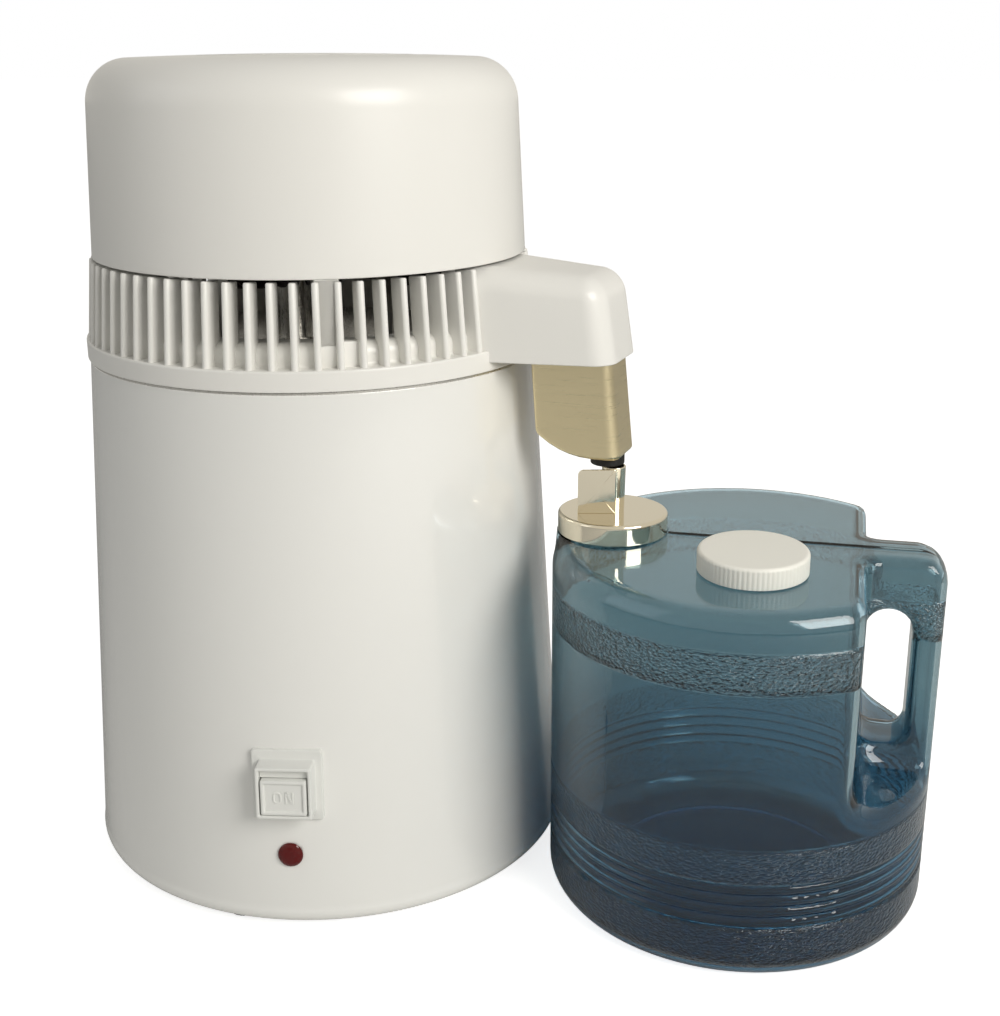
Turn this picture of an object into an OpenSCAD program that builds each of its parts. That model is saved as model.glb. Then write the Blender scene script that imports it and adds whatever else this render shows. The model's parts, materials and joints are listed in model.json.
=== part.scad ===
// Countertop water distiller: a heated base, a lift-off condenser head and a collecting jug.
// Millimetres, +Z up. The origin is on the boiler's axis at the table; +X points along the spout arm.

/* [Housing] */
// Outer diameter at the rolled bottom edge
base_d = 230; // [220:1:240]
// Outer diameter at the top edge
top_d = 203; // [198:1:210]
// Height of the seam between housing and head
seam_z = 241; // [235:1:255]
// Thickness of the steel wall
shell_t = 1.2; // [0.8:0.1:1.8]
// Radius of the rolled bottom edge
hem_r = 5.5; // [4.5:0.5:7]
// Width of the inner lip that carries the base plate
lip_w = 14; // [10:1:20]
// Thickness of the base plate
plate_t = 1.2; // [0.8:0.1:2]
// Width of one vent slot in the base plate
vent_w = 4; // [3:0.5:6]
// Number of vent slots in the base plate
vent_count = 20; // [8:2:24]

/* [Feet] */
// Height of a rubber foot
foot_h = 5; // [4:0.5:8]
// Diameter of a rubber foot
foot_d = 19; // [16:0.5:22]
// Number of feet
foot_count = 3; // [3:1:5]
// Direction of the first foot
foot_angle = -87; // [-100:1:-70]
// Diameter of the foot screws
foot_screw_d = 4; // [3:0.5:5]

/* [Boiler] */
// Thickness of the stainless chamber
pot_t = 0.8; // [0.6:0.1:1.2]
// Space between chamber and housing at the top
pot_gap = 6.3; // [5:0.1:9]
// Space between chamber and housing at the switch
switch_room = 15.9; // [15:0.1:19]
// Height of the chamber's floor
pot_floor_z = 48; // [44:1:60]
// Radius between the chamber's floor and wall
pot_corner_r = 14; // [8:1:20]

/* [Heater] */
// Diameter of the heat spreader
spreader_d = 124; // [114:1:140]
// Thickness of the heat spreader
spreader_t = 6; // [5:0.5:8]
// Middle diameter of the heating element's ring
element_d = 92; // [84:1:100]
// Diameter of the heating element's tube
element_tube_d = 8; // [6.5:0.1:9]
// Width of the clamp bar under the element
clamp_w = 14; // [10:1:18]
// Thickness of the clamp bar
clamp_t = 2; // [1.5:0.1:3]
// Diameter of the tie rod
rod_d = 6; // [5:0.5:8]
// Diameter of the heat shield
shield_d = 170; // [150:1:180]
// Height of the heat shield above the base plate
shield_lift = 11; // [9:1:13]
// Height of the heat shield's rim
shield_rim_h = 9; // [4:1:12]
// Diameter of a thermostat
thermostat_d = 16; // [13:0.5:18]

/* [Controls] */
// Direction of the control panel
panel_angle = -71.6; // [-80:0.1:-65]
// Height of the switch
switch_z = 72.5; // [65:0.5:90]
// Width of the bezel plate
bezel_w = 30.5; // [28:0.5:36]
// Height of the bezel plate
bezel_h = 32; // [28:0.5:38]
// Thickness of the bezel plate
bezel_t = 1.4; // [1:0.1:2]
// Width of the shroud round the key
shroud_w = 24; // [22:0.5:26]
// Height of the shroud round the key
shroud_h = 23.4; // [22:0.2:26]
// How far the shroud stands out of the housing
shroud_depth = 10.5; // [9:0.5:14]
// Thickness of the shroud's wall
shroud_t = 1.6; // [1.2:0.1:2.2]
// Height of the key
key_h = 15.8; // [13:0.2:17]
// Travel of the key
key_travel = 3; // [2:0.5:3.5]
// Height of the lamp
lamp_z = 39.3; // [30:0.1:46]
// Diameter of the lamp lens
lamp_d = 11; // [9:0.5:14]
// Diameter of the lamp's barrel
lamp_barrel_d = 8.2; // [6:0.2:8.6]

/* [Rear sockets] */
// Direction of the rear sockets
rear_angle = 90; // [75:1:105]
// Height of the mains inlet
inlet_z = 42; // [36:1:60]
// Width of the mains inlet's flange
inlet_flange_w = 50; // [46:1:54]
// Height of the mains inlet's flange
inlet_flange_h = 23; // [22:0.5:28]
// Width of the mains inlet's body
inlet_body_w = 27.5; // [27:0.1:29]
// Height of the mains inlet's body
inlet_body_h = 19.8; // [19.5:0.1:21]
// Spacing of the two inlet screws
inlet_screw_gap = 40; // [37:0.5:42]
// Diameter of the small panel screws
screw_d = 3; // [2.5:0.5:3.5]
// Diameter of the fan supply socket
socket_d = 22; // [20:0.5:24]
// Distance of the fan socket below the seam
socket_drop = 26; // [20:1:50]

/* [Louvre ring] */
// How far the ring stands proud of the housing
ring_proud = 1; // [0.6:0.1:2]
// Height of the plain band
band_h = 9; // [7:0.5:12]
// Height of the louvre fins
fin_h = 34.8; // [28:0.1:40]
// Number of fin positions round the ring
fin_count = 68; // [60:2:72]
// Thickness of a fin
fin_t = 2.9; // [2:0.1:3.4]
// Depth of a fin, inwards
fin_depth = 10; // [8:0.5:12]
// Fin positions that the spout arm takes up
arm_bays = 6; // [4:2:6]
// Fin positions from the arm to a screw post
post_bay = 11; // [9:1:13]
// Height of the curb behind the fins
curb_h = 9.5; // [7:0.5:12]
// Radius of the curb's upper edge
curb_edge_r = 5; // [3.5:0.5:6]
// Wall thickness of the ring
ring_t = 2; // [1.6:0.1:2.6]

/* [Dome cover] */
// Outer diameter at the rim
dome_rim_d = 194.4; // [190:0.2:198]
// Outer diameter below the rounded edge
dome_top_d = 186.6; // [180:0.2:190]
// Height of the cover
dome_h = 85; // [76:1:95]
// Radius of the upper edge
dome_edge_r = 19; // [12:1:26]
// How much the top is crowned
dome_crown = 1.5; // [0.5:0.1:3]
// Wall thickness of the cover
dome_t = 2.4; // [1.8:0.1:3]
// Width of a slot in the air grille
grille_slot = 5; // [3:0.5:6]
// Distance from slot to slot
grille_pitch = 9; // [8:0.5:10]
// Number of slot rings
grille_rings = 5; // [3:1:5]
// Width of the grille's spokes
grille_spoke = 5; // [3:0.5:7]

/* [Spout arm] */
// Width of the arm where it leaves the ring
arm_root_w = 62; // [54:1:66]
// Width of the arm at its end
arm_end_w = 41; // [36:1:48]
// How far the arm reaches past the drip point
arm_over = 7; // [6.5:0.5:12]
// Height of the arm's lower edge above the seam
arm_rise = 4; // [2:0.5:6]
// Fall of the arm's top from the ring to its end
arm_fall = 3.5; // [1:0.5:6]
// Lean of the arm's end face
arm_lean = 9; // [4:1:12]
// Radius of the arm's edges
arm_edge_r = 9; // [6:0.5:11]
// Wall thickness of the arm
arm_t = 2.2; // [1.8:0.1:2.8]

/* [Spout cover] */
// Width of the cover
cover_w = 27; // [25:0.5:29]
// Space between the louvre ring and the cover
cover_gap = 10.8; // [6:0.2:14]
// Sheet thickness
cover_t = 0.8; // [0.5:0.1:1.2]
// Height of the cover's back corner above its floor
cover_sweep = 10; // [6:0.5:14]
// Lean of the cover's end face
cover_lean = 6; // [3:0.5:9]
// Diameter of the black drip seal
seal_d = 15; // [13:0.5:16]
// Height of the drip seal below the cover
seal_h = 4.4; // [3:0.1:7]

/* [Condenser] */
// Middle radius of the coil
coil_r = 34; // [32:1:38]
// Rise of the coil for each turn
coil_pitch = 23.6; // [23.6:0.1:24.4]
// Number of turns
coil_turns = 2; // [2:1:2]
// Diameter of the steam tube
tube_d = 9; // [8:0.5:10]
// Diameter of the cooling fins
cooler_d = 23; // [18:0.5:23]
// Thickness of a cooling fin
cooler_t = 0.8; // [0.6:0.1:1]
// Distance between cooling fins
cooler_pitch = 5.4; // [5:0.1:8]
// Height of the outlet tube above the ring's deck
outlet_lift = 12.5; // [10:0.5:13]
// Diameter of the steam riser
riser_d = 16; // [14:0.5:18]
// Bend radius between riser and coil
inlet_bend = 11; // [10.5:0.5:11.5]

/* [Fan] */
// Outer diameter of the fan frame
fan_d = 124; // [116:1:130]
// Height of the fan frame
fan_h = 22; // [20:1:26]
// Diameter of the impeller
impeller_d = 112; // [100:1:113]
// Number of blades
blade_count = 7; // [5:1:9]
// Diameter of the fan motor
motor_d = 36; // [32:1:40]
// Diameter of the fan shaft
shaft_d = 5; // [4:0.5:6]
// Length of the bosses that carry the fan
fan_boss_h = 9; // [6:0.5:10]

/* [Jug] */
// Outer diameter of the jug
jug_d = 170; // [160:1:180]
// Height of the jug's top
jug_h = 168; // [164:1:172]
// Wall thickness of the jug
jug_t = 1.8; // [1.4:0.1:2.4]
// Gap between jug and housing
jug_gap = 5; // [4:0.5:12]
// Turn of the jug about its filling mouth
jug_turn = 8; // [-10:1:12]
// Radius of the bottom edge
jug_foot_r = 13; // [9:1:16]
// Radius of the upper edge
jug_edge_r = 13; // [9:1:14]
// Slope of the pouring deck
deck_tilt = 2; // [1:0.5:5]
// Step from the back of the top down to the pouring deck
deck_step = 0.6; // [0.3:0.1:1.2]
// Height of the lowest rib
rib_z = 26.5; // [22:0.5:32]
// Height of one rib
rib_h = 5.1; // [4:0.1:6]
// Number of ribs
rib_count = 4; // [2:1:5]
// How far a rib stands out of its grooves
rib_depth = 1.2; // [0.6:0.1:1.8]
// Distance of the handle's pocket from the jug's axis
pocket_x = 51; // [48:0.5:55]
// Height of the pocket's floor
pocket_z = 71; // [66:1:80]
// Radius of the pocket's lower corner
pocket_r = 15; // [8:1:20]
// Width of the handle
handle_w = 26; // [22:0.5:30]
// Thickness of the handle's grip
grip_t = 13; // [11:0.5:15]
// Height of the finger hole
finger_h = 62; // [54:1:66]
// Height of the ridge under the finger hole
finger_rise = 11; // [4:0.5:12]

/* [Fill lid] */
// Distance of the filling mouth from the jug's axis
mouth_x = 59.4; // [56:0.2:60]
// Diameter of the lid
lid_d = 48.8; // [48:0.2:51]
// Height of the lid's skirt
lid_h = 9.4; // [9:0.1:12]
// Height of the lid's top above the jug's top
lid_rise = 8.6; // [7:0.1:10]
// Thickness of the lid
lid_t = 1; // [0.8:0.1:1.4]
// Height of the collar on the lid
collar_h = 20.4; // [16:0.2:24]
// Diameter of the collar at its top
collar_d = 10.6; // [10:0.2:14]
// How far the drip point lies inside the collar's middle
drip_off = 3; // [0:0.2:4]
// Reach of the thumb tab from the collar's middle
tab_reach = 16; // [10:0.5:18]
// Direction of the thumb tab
tab_angle = 21; // [0:1:40]

/* [Screw cap] */
// Diameter of the cap
cap_d = 46; // [45:0.5:50]
// Height of the cap
cap_h = 9.3; // [9:0.1:12]
// Thickness of the cap's top
cap_t = 1.6; // [1.2:0.1:2]
// Radius of the cap's upper edge
cap_edge_r = 1.6; // [0.8:0.1:2]
// Number of grip flutes
flute_count = 72; // [48:4:80]
// Depth of a grip flute
flute_depth = 0.35; // [0.2:0.05:0.5]
// Place of the cap along the jug's handle line
cap_x = 4.8; // [0:0.1:8]
// Place of the cap to the side of the handle line
cap_y = -37; // [-43:0.5:-36]

/* [Hidden] */
$fn = 64;

// Colours of the finishes
white_paint = [0.93, 0.93, 0.91];
white_plastic = [0.90, 0.90, 0.86];
steel = [0.72, 0.72, 0.72];
bright_steel = [0.82, 0.80, 0.76];
dark_metal = [0.20, 0.18, 0.17];
black_rubber = [0.06, 0.06, 0.06];
blue_clear = [0.30, 0.47, 0.58, 0.6];
cream_rubber = [0.85, 0.83, 0.78];
red_clear = [0.55, 0.02, 0.04];
brass_metal = [0.75, 0.62, 0.35];
aluminium_metal = [0.80, 0.81, 0.83];

// Clearances
fit_gap = 0.05;   // radial, for a rod, screw or barrel in its hole
slide_gap = 0.3;  // between curved faces that move past each other
seat_gap = 0.2;   // beside a piece that drops into its seat
skin_gap = 0.15;  // under a piece that lies on a curved wall
cut = 1;          // how far a cutting shape runs past the face it cuts

// Housing
base_r = base_d / 2;
top_r = top_d / 2;
housing_top = seam_z - pot_t;
wall_slope = (base_r - top_r) / (housing_top - foot_h);
wall_lean = atan(wall_slope);
function wall_r(z) = base_r - (z - foot_h) * wall_slope;
plate_top = foot_h + plate_t;
plate_r = base_r - 2 * hem_r - seat_gap;
lip_top = plate_top + shell_t;
lip_inner_r = plate_r - lip_w;
foot_r = plate_r - 0.35 * foot_d;
foot_angles = [for (i = [0:foot_count - 1]) foot_angle + i * 360 / foot_count];
nut_h = 3.2;
nut_w = 1.8;

// Boiler and heater
pot_r = top_r - shell_t - pot_gap;
pot_low_r = pot_r + (wall_r(switch_z) - shell_t - switch_room - pot_r) * (seam_z - pot_floor_z)
    / (seam_z - switch_z);
spreader_z = pot_floor_z - pot_t - spreader_t;
element_z = spreader_z - 1;
knuckle_d = element_tube_d + 0.2;
groove_r = knuckle_d / 2 + skin_gap;
clamp_z = element_z - element_tube_d / 2 - clamp_t;
shield_z = plate_top + shield_lift;
shield_t = 0.8;
rod_bottom = 0.4;
leg_angle = 165;
thermostat_h = 7;
tab_w = 5;
tab_h = 7;

// Controls
key_w = shroud_w - 2 * shroud_t - 2 * seat_gap - 0.8;
key_t = 5;
key_front = shroud_depth + 0.5;
key_back = key_front - key_t;
switch_front = key_back - key_travel - 0.5;
switch_depth = 9;
opening_w = shroud_w - 2 * shroud_t;
opening_h = shroud_h - 2 * shroud_t;
key_y = -opening_h / 2 + 0.4 + key_h / 2;
plunger_d = 5;
plunger_l = 9;
inlet_screw_l = 10;
inlet_depth = 20;
pin_l = 24;
deck_screw_l = 8;
fan_screw_l = 6;
motor_lift = 6;

// Head
ring_r = top_r + ring_proud;
ring_z = seam_z + 0.3;
ledge_z = seam_z + band_h;
deck_z = ledge_z + curb_h;
fin_foot_r = ring_r - 0.9;
fin_tip_r = dome_rim_d / 2 + 1.2;
fin_lean = atan((fin_foot_r - fin_tip_r) / fin_h);
fin_pitch = 360 / fin_count;
curb_r = fin_foot_r - 0.66 * fin_depth;
deck_inner_r = curb_r - curb_edge_r - 7;
gasket_h = 2.5;
gasket_w = 5.5;
steam_plate_z = seam_z + gasket_h;
steam_plate_t = 0.8;
steam_plate_top = steam_plate_z + steam_plate_t;
steam_plate_r = ring_r - ring_t - seat_gap;
lip_r = pot_r - pot_t - slide_gap;
dome_z = ledge_z + fin_h + 0.5;
dome_rim_r = dome_rim_d / 2;
dome_top_r = dome_top_d / 2;
dome_top_z = dome_z + dome_h;
post_angles = [post_bay * fin_pitch, -post_bay * fin_pitch, 180];
post_screw_r = curb_r - ring_t - 5;
function dome_wall_r(z) = dome_rim_r - (dome_rim_r - dome_top_r) * (z - dome_z) / (dome_h - dome_edge_r);

// Jug and drip point: the jug stands beside the housing and the spout reaches its mouth
jug_r = jug_d / 2;
lid_x = base_r + jug_gap + jug_r - mouth_x;
drip_x = lid_x - drip_off;
deck_slope = tan(deck_tilt);
lid_top = jug_h + lid_rise;
lid_bottom = lid_top - lid_h;
collar_top = lid_top + collar_h;
seal_bottom = collar_top + 0.8;
cover_floor = seal_bottom + seal_h;
mouth_r = lid_d / 2 - 4.5;
cap_neck_r = cap_d / 2 - 3.4;
cap_neck_h = cap_h - cap_t - 1.1;
cap_z = jug_h - deck_step + cap_y * deck_slope + 0.4;
grip_x = jug_r - grip_t;
finger_z = pocket_z + finger_rise;
handle_r = 6;
handle_fillet = 9;
deck_edge_r = 4;

// Spout arm
arm_start = curb_r - 5;
arm_end = drip_x + arm_over;
arm_z = seam_z + arm_rise;
arm_top = dome_z - 0.3;
arm_end_top = arm_top - arm_fall;
cover_top = arm_z + 12;
cover_end = arm_end - arm_t - (cover_top - arm_z) * tan(arm_lean) - 0.2;
cover_screw_z = arm_z + 6.5;
cover_start = ring_r + cover_gap;
cover_screw_x = (cover_start + cover_end) / 2;

// Condenser
outlet_z = deck_z + outlet_lift;
coil_top = outlet_z + coil_pitch * coil_turns;
tube_r = tube_d / 2;
riser_r = riser_d / 2;
coil_steps = 26;
tube_sides = 10;
outlet_join_x = curb_r + 8;
leg_x = drip_x - 4;
elbow_r = 12;

// Fan
fan_top = dome_top_z - dome_t - dome_crown - fan_boss_h;
fan_z = fan_top - fan_h;
fan_screw_r = fan_d / 2 + 4;
hub_r = motor_d / 2 + 3;
strut_t = 3;
blade_t = 1.6;
blade_curve_r = 34;

// Helpers

function unit(v) = v / norm(v);
function flat(p) = [p[0], p[1]];

// Arc that rounds corner b between a and c
function corner_arc(a, b, c, r, steps) =
    let(u = unit(a - b), v = unit(c - b), half = acos(u * v) / 2,
        centre = b + unit(u + v) * r / sin(half),
        from = b + u * r / tan(half) - centre, to = b + v * r / tan(half) - centre,
        start = atan2(from[1], from[0]), raw = atan2(to[1], to[0]) - start,
        turn = raw > 180 ? raw - 360 : raw < -180 ? raw + 360 : raw)
    [for (i = [0:steps]) centre + r * [cos(start + turn * i / steps), sin(start + turn * i / steps)]];

// Closed outline of [x, y, corner radius] points
function rounded(path, steps = 8) = let(n = len(path))
    [for (i = [0:n - 1]) each path[i][2] > 0
        ? corner_arc(flat(path[(i + n - 1) % n]), flat(path[i]), flat(path[(i + 1) % n]), path[i][2], steps)
        : [flat(path[i])]];

// Rectangle with rounded corners, centred
module rounded_rect(w, h, r) {
    polygon(rounded([[-w / 2, -h / 2, r], [w / 2, -h / 2, r], [w / 2, h / 2, r], [-w / 2, h / 2, r]]));
}

// Straight tube along Z
module tube(outer, inner, h) {
    difference() {
        cylinder(r = outer, h = h);
        translate([0, 0, -cut]) cylinder(r = inner, h = h + 2 * cut);
    }
}

// Screw pointing down from the origin: the head above, the shank below
module screw(d, length) {
    difference() {
        union() {
            cylinder(d = 2 * d, h = 0.6 * d);
            translate([0, 0, -length]) cylinder(d = d, h = length + 0.1);
        }
        translate([0, 0, 0.3 * d]) linear_extrude(d) {
            square([1.2 * d, 0.22 * d], center = true);
            square([0.22 * d, 1.2 * d], center = true);
        }
    }
}

// Hexagon nut standing on the origin
module nut(d, h) {
    difference() {
        cylinder(r = nut_w * d / 2 / cos(30), h = h, $fn = 6);
        translate([0, 0, -cut]) cylinder(r = d / 2 + fit_gap, h = h + 2 * cut);
    }
}

// Places children on the housing's outside: X to the right, Y up the wall, Z outwards
module on_wall(angle, z) {
    rotate([0, 0, angle]) translate([wall_r(z), 0, z]) rotate([0, -wall_lean, 0])
        rotate([90, 0, 90]) children();
}

// The same on the dome
module on_dome(angle, z) {
    rotate([0, 0, angle]) translate([dome_wall_r(z), 0, z]) rotate([90, 0, 90]) children();
}

// The room that the housing's outside takes up, grown a little
module housing_envelope(grow) {
    cylinder(r1 = wall_r(0) + grow, r2 = wall_r(seam_z) + grow, h = seam_z, $fn = 480);
}

module at_jug() {
    translate([lid_x, 0, 0]) rotate([0, 0, jug_turn]) translate([mouth_x, 0, 0]) children();
}

// On the pouring deck under the screw cap
module at_cap() {
    at_jug() translate([cap_x, cap_y, cap_z]) rotate([deck_tilt, 0, 0]) children();
}

// Base

module housing() {
    color(white_paint) difference() {
        rotate_extrude() {
            polygon([[wall_r(foot_h + 1.2 * hem_r), foot_h + 1.2 * hem_r], [top_r, housing_top],
                [top_r - shell_t, housing_top],
                [wall_r(foot_h + 1.2 * hem_r) - shell_t, foot_h + 1.2 * hem_r]]);
            translate([base_r - hem_r, foot_h + hem_r]) difference() {
                circle(hem_r);
                circle(hem_r - shell_t);
            }
            translate([lip_inner_r, plate_top]) square([base_r - hem_r - 2 - lip_inner_r, shell_t]);
        }
        for (a = foot_angles) rotate([0, 0, a]) translate([foot_r, 0, plate_top - cut])
            cylinder(d = foot_screw_d + 2 * fit_gap, h = shell_t + 2 * cut);
        on_wall(panel_angle, switch_z)
            cube([opening_w + 2 * seat_gap + 1.2, opening_h + 2 * seat_gap + 1.2, 20], center = true);
        on_wall(panel_angle, lamp_z) cylinder(d = lamp_barrel_d + 2 * fit_gap, h = 20, center = true);
        on_wall(rear_angle, inlet_z) {
            cube([inlet_body_w + 2 * seat_gap, inlet_body_h + 2 * seat_gap, 30], center = true);
            for (s = [-1, 1]) translate([s * inlet_screw_gap / 2, 0, 0])
                cylinder(d = screw_d + 4 * fit_gap, h = 20, center = true);
        }
        on_wall(rear_angle, seam_z - socket_drop)
            cylinder(d = socket_d - 4 + 2 * fit_gap, h = 20, center = true);
    }
}

module base_plate() {
    color(steel) difference() {
        translate([0, 0, foot_h]) cylinder(r = plate_r, h = plate_t);
        for (a = foot_angles) rotate([0, 0, a]) translate([foot_r, 0, foot_h - cut])
            cylinder(d = foot_screw_d + 2 * fit_gap, h = plate_t + 2 * cut);
        translate([0, 0, foot_h - cut]) cylinder(d = rod_d + 2 * fit_gap, h = plate_t + 2 * cut);
        for (i = [0:vent_count - 1]) rotate([0, 0, (i + 0.5) * 360 / vent_count])
            translate([0, 0, foot_h - cut]) linear_extrude(plate_t + 2 * cut) {
                translate([34, -vent_w / 2]) square([26, vent_w]);
                for (x = [34, 60]) translate([x, 0]) circle(d = vent_w);
            }
    }
}

module rubber_feet() {
    color(black_rubber) for (a = foot_angles) rotate([0, 0, a]) translate([foot_r, 0, 0])
        rotate_extrude() polygon(rounded([[foot_screw_d + 0.6, 0, 0], [foot_d / 2 - 1, 0, 1],
            [foot_d / 2, foot_h, 0], [foot_screw_d / 2 + fit_gap, foot_h, 0],
            [foot_screw_d / 2 + fit_gap, foot_h - 1.6, 0], [foot_screw_d + 0.6, foot_h - 1.6, 0]], 4));
}

module foot_screws() {
    color(steel) for (a = foot_angles) rotate([0, 0, a]) translate([foot_r, 0, foot_h - 1.6])
        mirror([0, 0, 1]) screw(foot_screw_d, lip_top - foot_h + 1.6 + nut_h + 1);
}

module foot_nuts() {
    color(steel) for (a = foot_angles) rotate([0, 0, a]) translate([foot_r, 0, lip_top])
        nut(foot_screw_d, nut_h);
}

module boiling_chamber() {
    color(bright_steel) rotate_extrude() {
        polygon(concat(
            [[0, pot_floor_z - pot_t]],
            corner_arc([0, pot_floor_z - pot_t], [pot_low_r, pot_floor_z - pot_t], [pot_r, seam_z],
                pot_corner_r + pot_t, 8),
            [[pot_r, housing_top], [pot_r - pot_t, housing_top]],
            corner_arc([pot_r - pot_t, seam_z], [pot_low_r - pot_t, pot_floor_z], [0, pot_floor_z],
                pot_corner_r, 8),
            [[0, pot_floor_z]]));
    }
}

// Flat rim that is welded to the chamber and lies on the housing's edge
module chamber_rim() {
    color(bright_steel) translate([0, 0, housing_top]) tube(top_r, pot_r - pot_t, pot_t);
}

module heat_spreader() {
    color(aluminium_metal) difference() {
        union() {
            translate([0, 0, spreader_z]) cylinder(d = spreader_d, h = spreader_t);
            translate([0, 0, clamp_z + clamp_t])
                cylinder(d = rod_d + 8, h = spreader_z - clamp_z - clamp_t + 0.1);
        }
        translate([0, 0, element_z]) rotate_extrude() translate([element_d / 2, 0]) circle(groove_r);
        translate([0, 0, clamp_z]) cylinder(d = rod_d + 2 * fit_gap, h = spreader_z - clamp_z + 3);
    }
}

module heating_element() {
    color(dark_metal) {
        translate([0, 0, element_z]) rotate([0, 0, -leg_angle]) rotate_extrude(angle = 2 * leg_angle)
            translate([element_d / 2, 0]) circle(d = element_tube_d);
        for (s = [-1, 1]) rotate([0, 0, s * leg_angle]) translate([element_d / 2, 0, 0]) {
            translate([0, 0, shield_z + 5]) cylinder(d = element_tube_d, h = element_z - shield_z - 5);
            translate([0, 0, element_z]) sphere(d = knuckle_d);
            translate([0, 0, shield_z + 2]) cylinder(d = 3, h = 4);
        }
    }
}

module element_clamp() {
    color(steel) translate([0, 0, clamp_z]) difference() {
        linear_extrude(clamp_t) rounded_rect(clamp_w, element_d + element_tube_d + 8, 4);
        translate([0, 0, -cut]) cylinder(d = rod_d + 2 * fit_gap, h = clamp_t + 2 * cut);
    }
}

module tie_rod() {
    color(steel) translate([0, 0, rod_bottom]) cylinder(d = rod_d, h = spreader_z + 2.5 - rod_bottom);
}

module tie_nuts() {
    color(steel) for (z = [clamp_z - nut_h - 0.8, shield_z - nut_h, shield_z + shield_t, foot_h - nut_h])
        translate([0, 0, z]) nut(rod_d, nut_h);
}

module thermostats() {
    for (s = [-1, 1]) color(dark_metal) translate([s * (clamp_w / 2 + thermostat_d / 2 + 3), 0, 0]) {
        translate([0, 0, spreader_z - thermostat_h]) cylinder(d = thermostat_d, h = thermostat_h);
        for (t = [-1, 1])
            translate([-shield_t / 2, (t - 1) * tab_w / 2 + t * tab_w * 0.4, spreader_z - thermostat_h - tab_h])
            cube([shield_t, tab_w, tab_h + 0.1]);
    }
}

module heat_shield() {
    color(aluminium_metal) difference() {
        rotate_extrude() polygon([[0, shield_z], [shield_d / 2, shield_z],
            [shield_d / 2 + shield_rim_h / 2, shield_z + shield_rim_h],
            [shield_d / 2 + shield_rim_h / 2 - shield_t, shield_z + shield_rim_h],
            [shield_d / 2 - shield_t, shield_z + shield_t], [0, shield_z + shield_t]]);
        translate([0, 0, shield_z - cut]) cylinder(d = rod_d + 2 * fit_gap, h = shield_t + 2 * cut);
        for (a = pillar_angles) rotate([0, 0, a]) translate([pillar_r, 0, shield_z - cut])
            cylinder(d = screw_d + 2 * fit_gap, h = shield_t + 2 * cut);
    }
}

pillar_r = 70;
pillar_angles = [for (i = [0:2]) 30 + 120 * i];

module shield_pillars() {
    color(steel) for (a = pillar_angles) rotate([0, 0, a]) translate([pillar_r, 0, 0]) {
        translate([0, 0, plate_top]) cylinder(d = 8, h = shield_lift);
        translate([0, 0, plate_top]) cylinder(d = screw_d, h = shield_lift + shield_t + 2.5);
    }
}

// Controls

module switch_bezel() {
    color(white_plastic) difference() {
        on_wall(panel_angle, switch_z) difference() {
            union() {
                translate([0, 0, -3]) linear_extrude(3 + bezel_t) rounded_rect(bezel_w, bezel_h, 1);
                linear_extrude(shroud_depth) rounded_rect(shroud_w, shroud_h, 0.8);
            }
            translate([0, 0, -10]) linear_extrude(10 + shroud_depth + cut)
                square([opening_w, opening_h], center = true);
        }
        housing_envelope(skin_gap);
    }
}

module switch_body() {
    color(white_plastic) on_wall(panel_angle, switch_z) difference() {
        union() {
            translate([0, 0, -switch_depth]) linear_extrude(switch_depth + switch_front)
                square([opening_w - 2 * seat_gap, opening_h - 2 * seat_gap], center = true);
            translate([-opening_w / 2 + seat_gap, key_y + key_h / 2 + 0.4, 0])
                cube([opening_w - 2 * seat_gap, opening_h / 2 - seat_gap - key_y - key_h / 2 - 0.4,
                    key_front - 3]);
            for (x = [-5, 5], y = [-5, 5]) translate([x - 2.4, y - 0.4, -switch_depth - 4.5])
                cube([4.8, 0.8, 4.6]);
        }
        translate([0, key_y, switch_front - plunger_l])
            cylinder(d = plunger_d + 2 * fit_gap, h = plunger_l + cut);
    }
}

module push_key() {
    color(white_plastic) on_wall(panel_angle, switch_z) translate([0, key_y, 0]) {
        difference() {
            translate([0, 0, key_back]) linear_extrude(key_t) rounded_rect(key_w, key_h, 0.8);
            translate([0, 0, key_front - 0.8]) linear_extrude(1 + cut)
                rounded_rect(key_w - 3.4, key_h - 3.4, 0.4);
        }
        translate([0, 0, switch_front - plunger_l + key_travel + 1])
            cylinder(d = plunger_d, h = key_back - switch_front + plunger_l - key_travel - 0.8);
    }
}

module lamp_lens() {
    color(red_clear) difference() {
        on_wall(panel_angle, lamp_z) rotate_extrude() polygon(concat(
            [[0, -1], [lamp_d / 2, -1], [lamp_d / 2, 0.8]],
            [for (i = [1:6]) [lamp_d / 2 * cos(15 * i), 0.8 + 1.6 * sin(15 * i)]]));
        housing_envelope(skin_gap);
        on_wall(panel_angle, lamp_z) translate([0, 0, -5]) cylinder(d = lamp_barrel_d + 2 * fit_gap, h = 5.3);
    }
}

module lamp_holder() {
    color(white_plastic) on_wall(panel_angle, lamp_z) {
        translate([0, 0, -14]) cylinder(d = lamp_barrel_d, h = 14.25);
        for (s = [-1, 1]) translate([s * 2 - 0.4, -1.4, -19]) cube([0.8, 2.8, 5.1]);
    }
}

module lamp_nut() {
    color(steel) on_wall(panel_angle, lamp_z) translate([0, 0, -shell_t - 3]) nut(lamp_barrel_d, 2.5);
}

// Rear sockets

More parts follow.
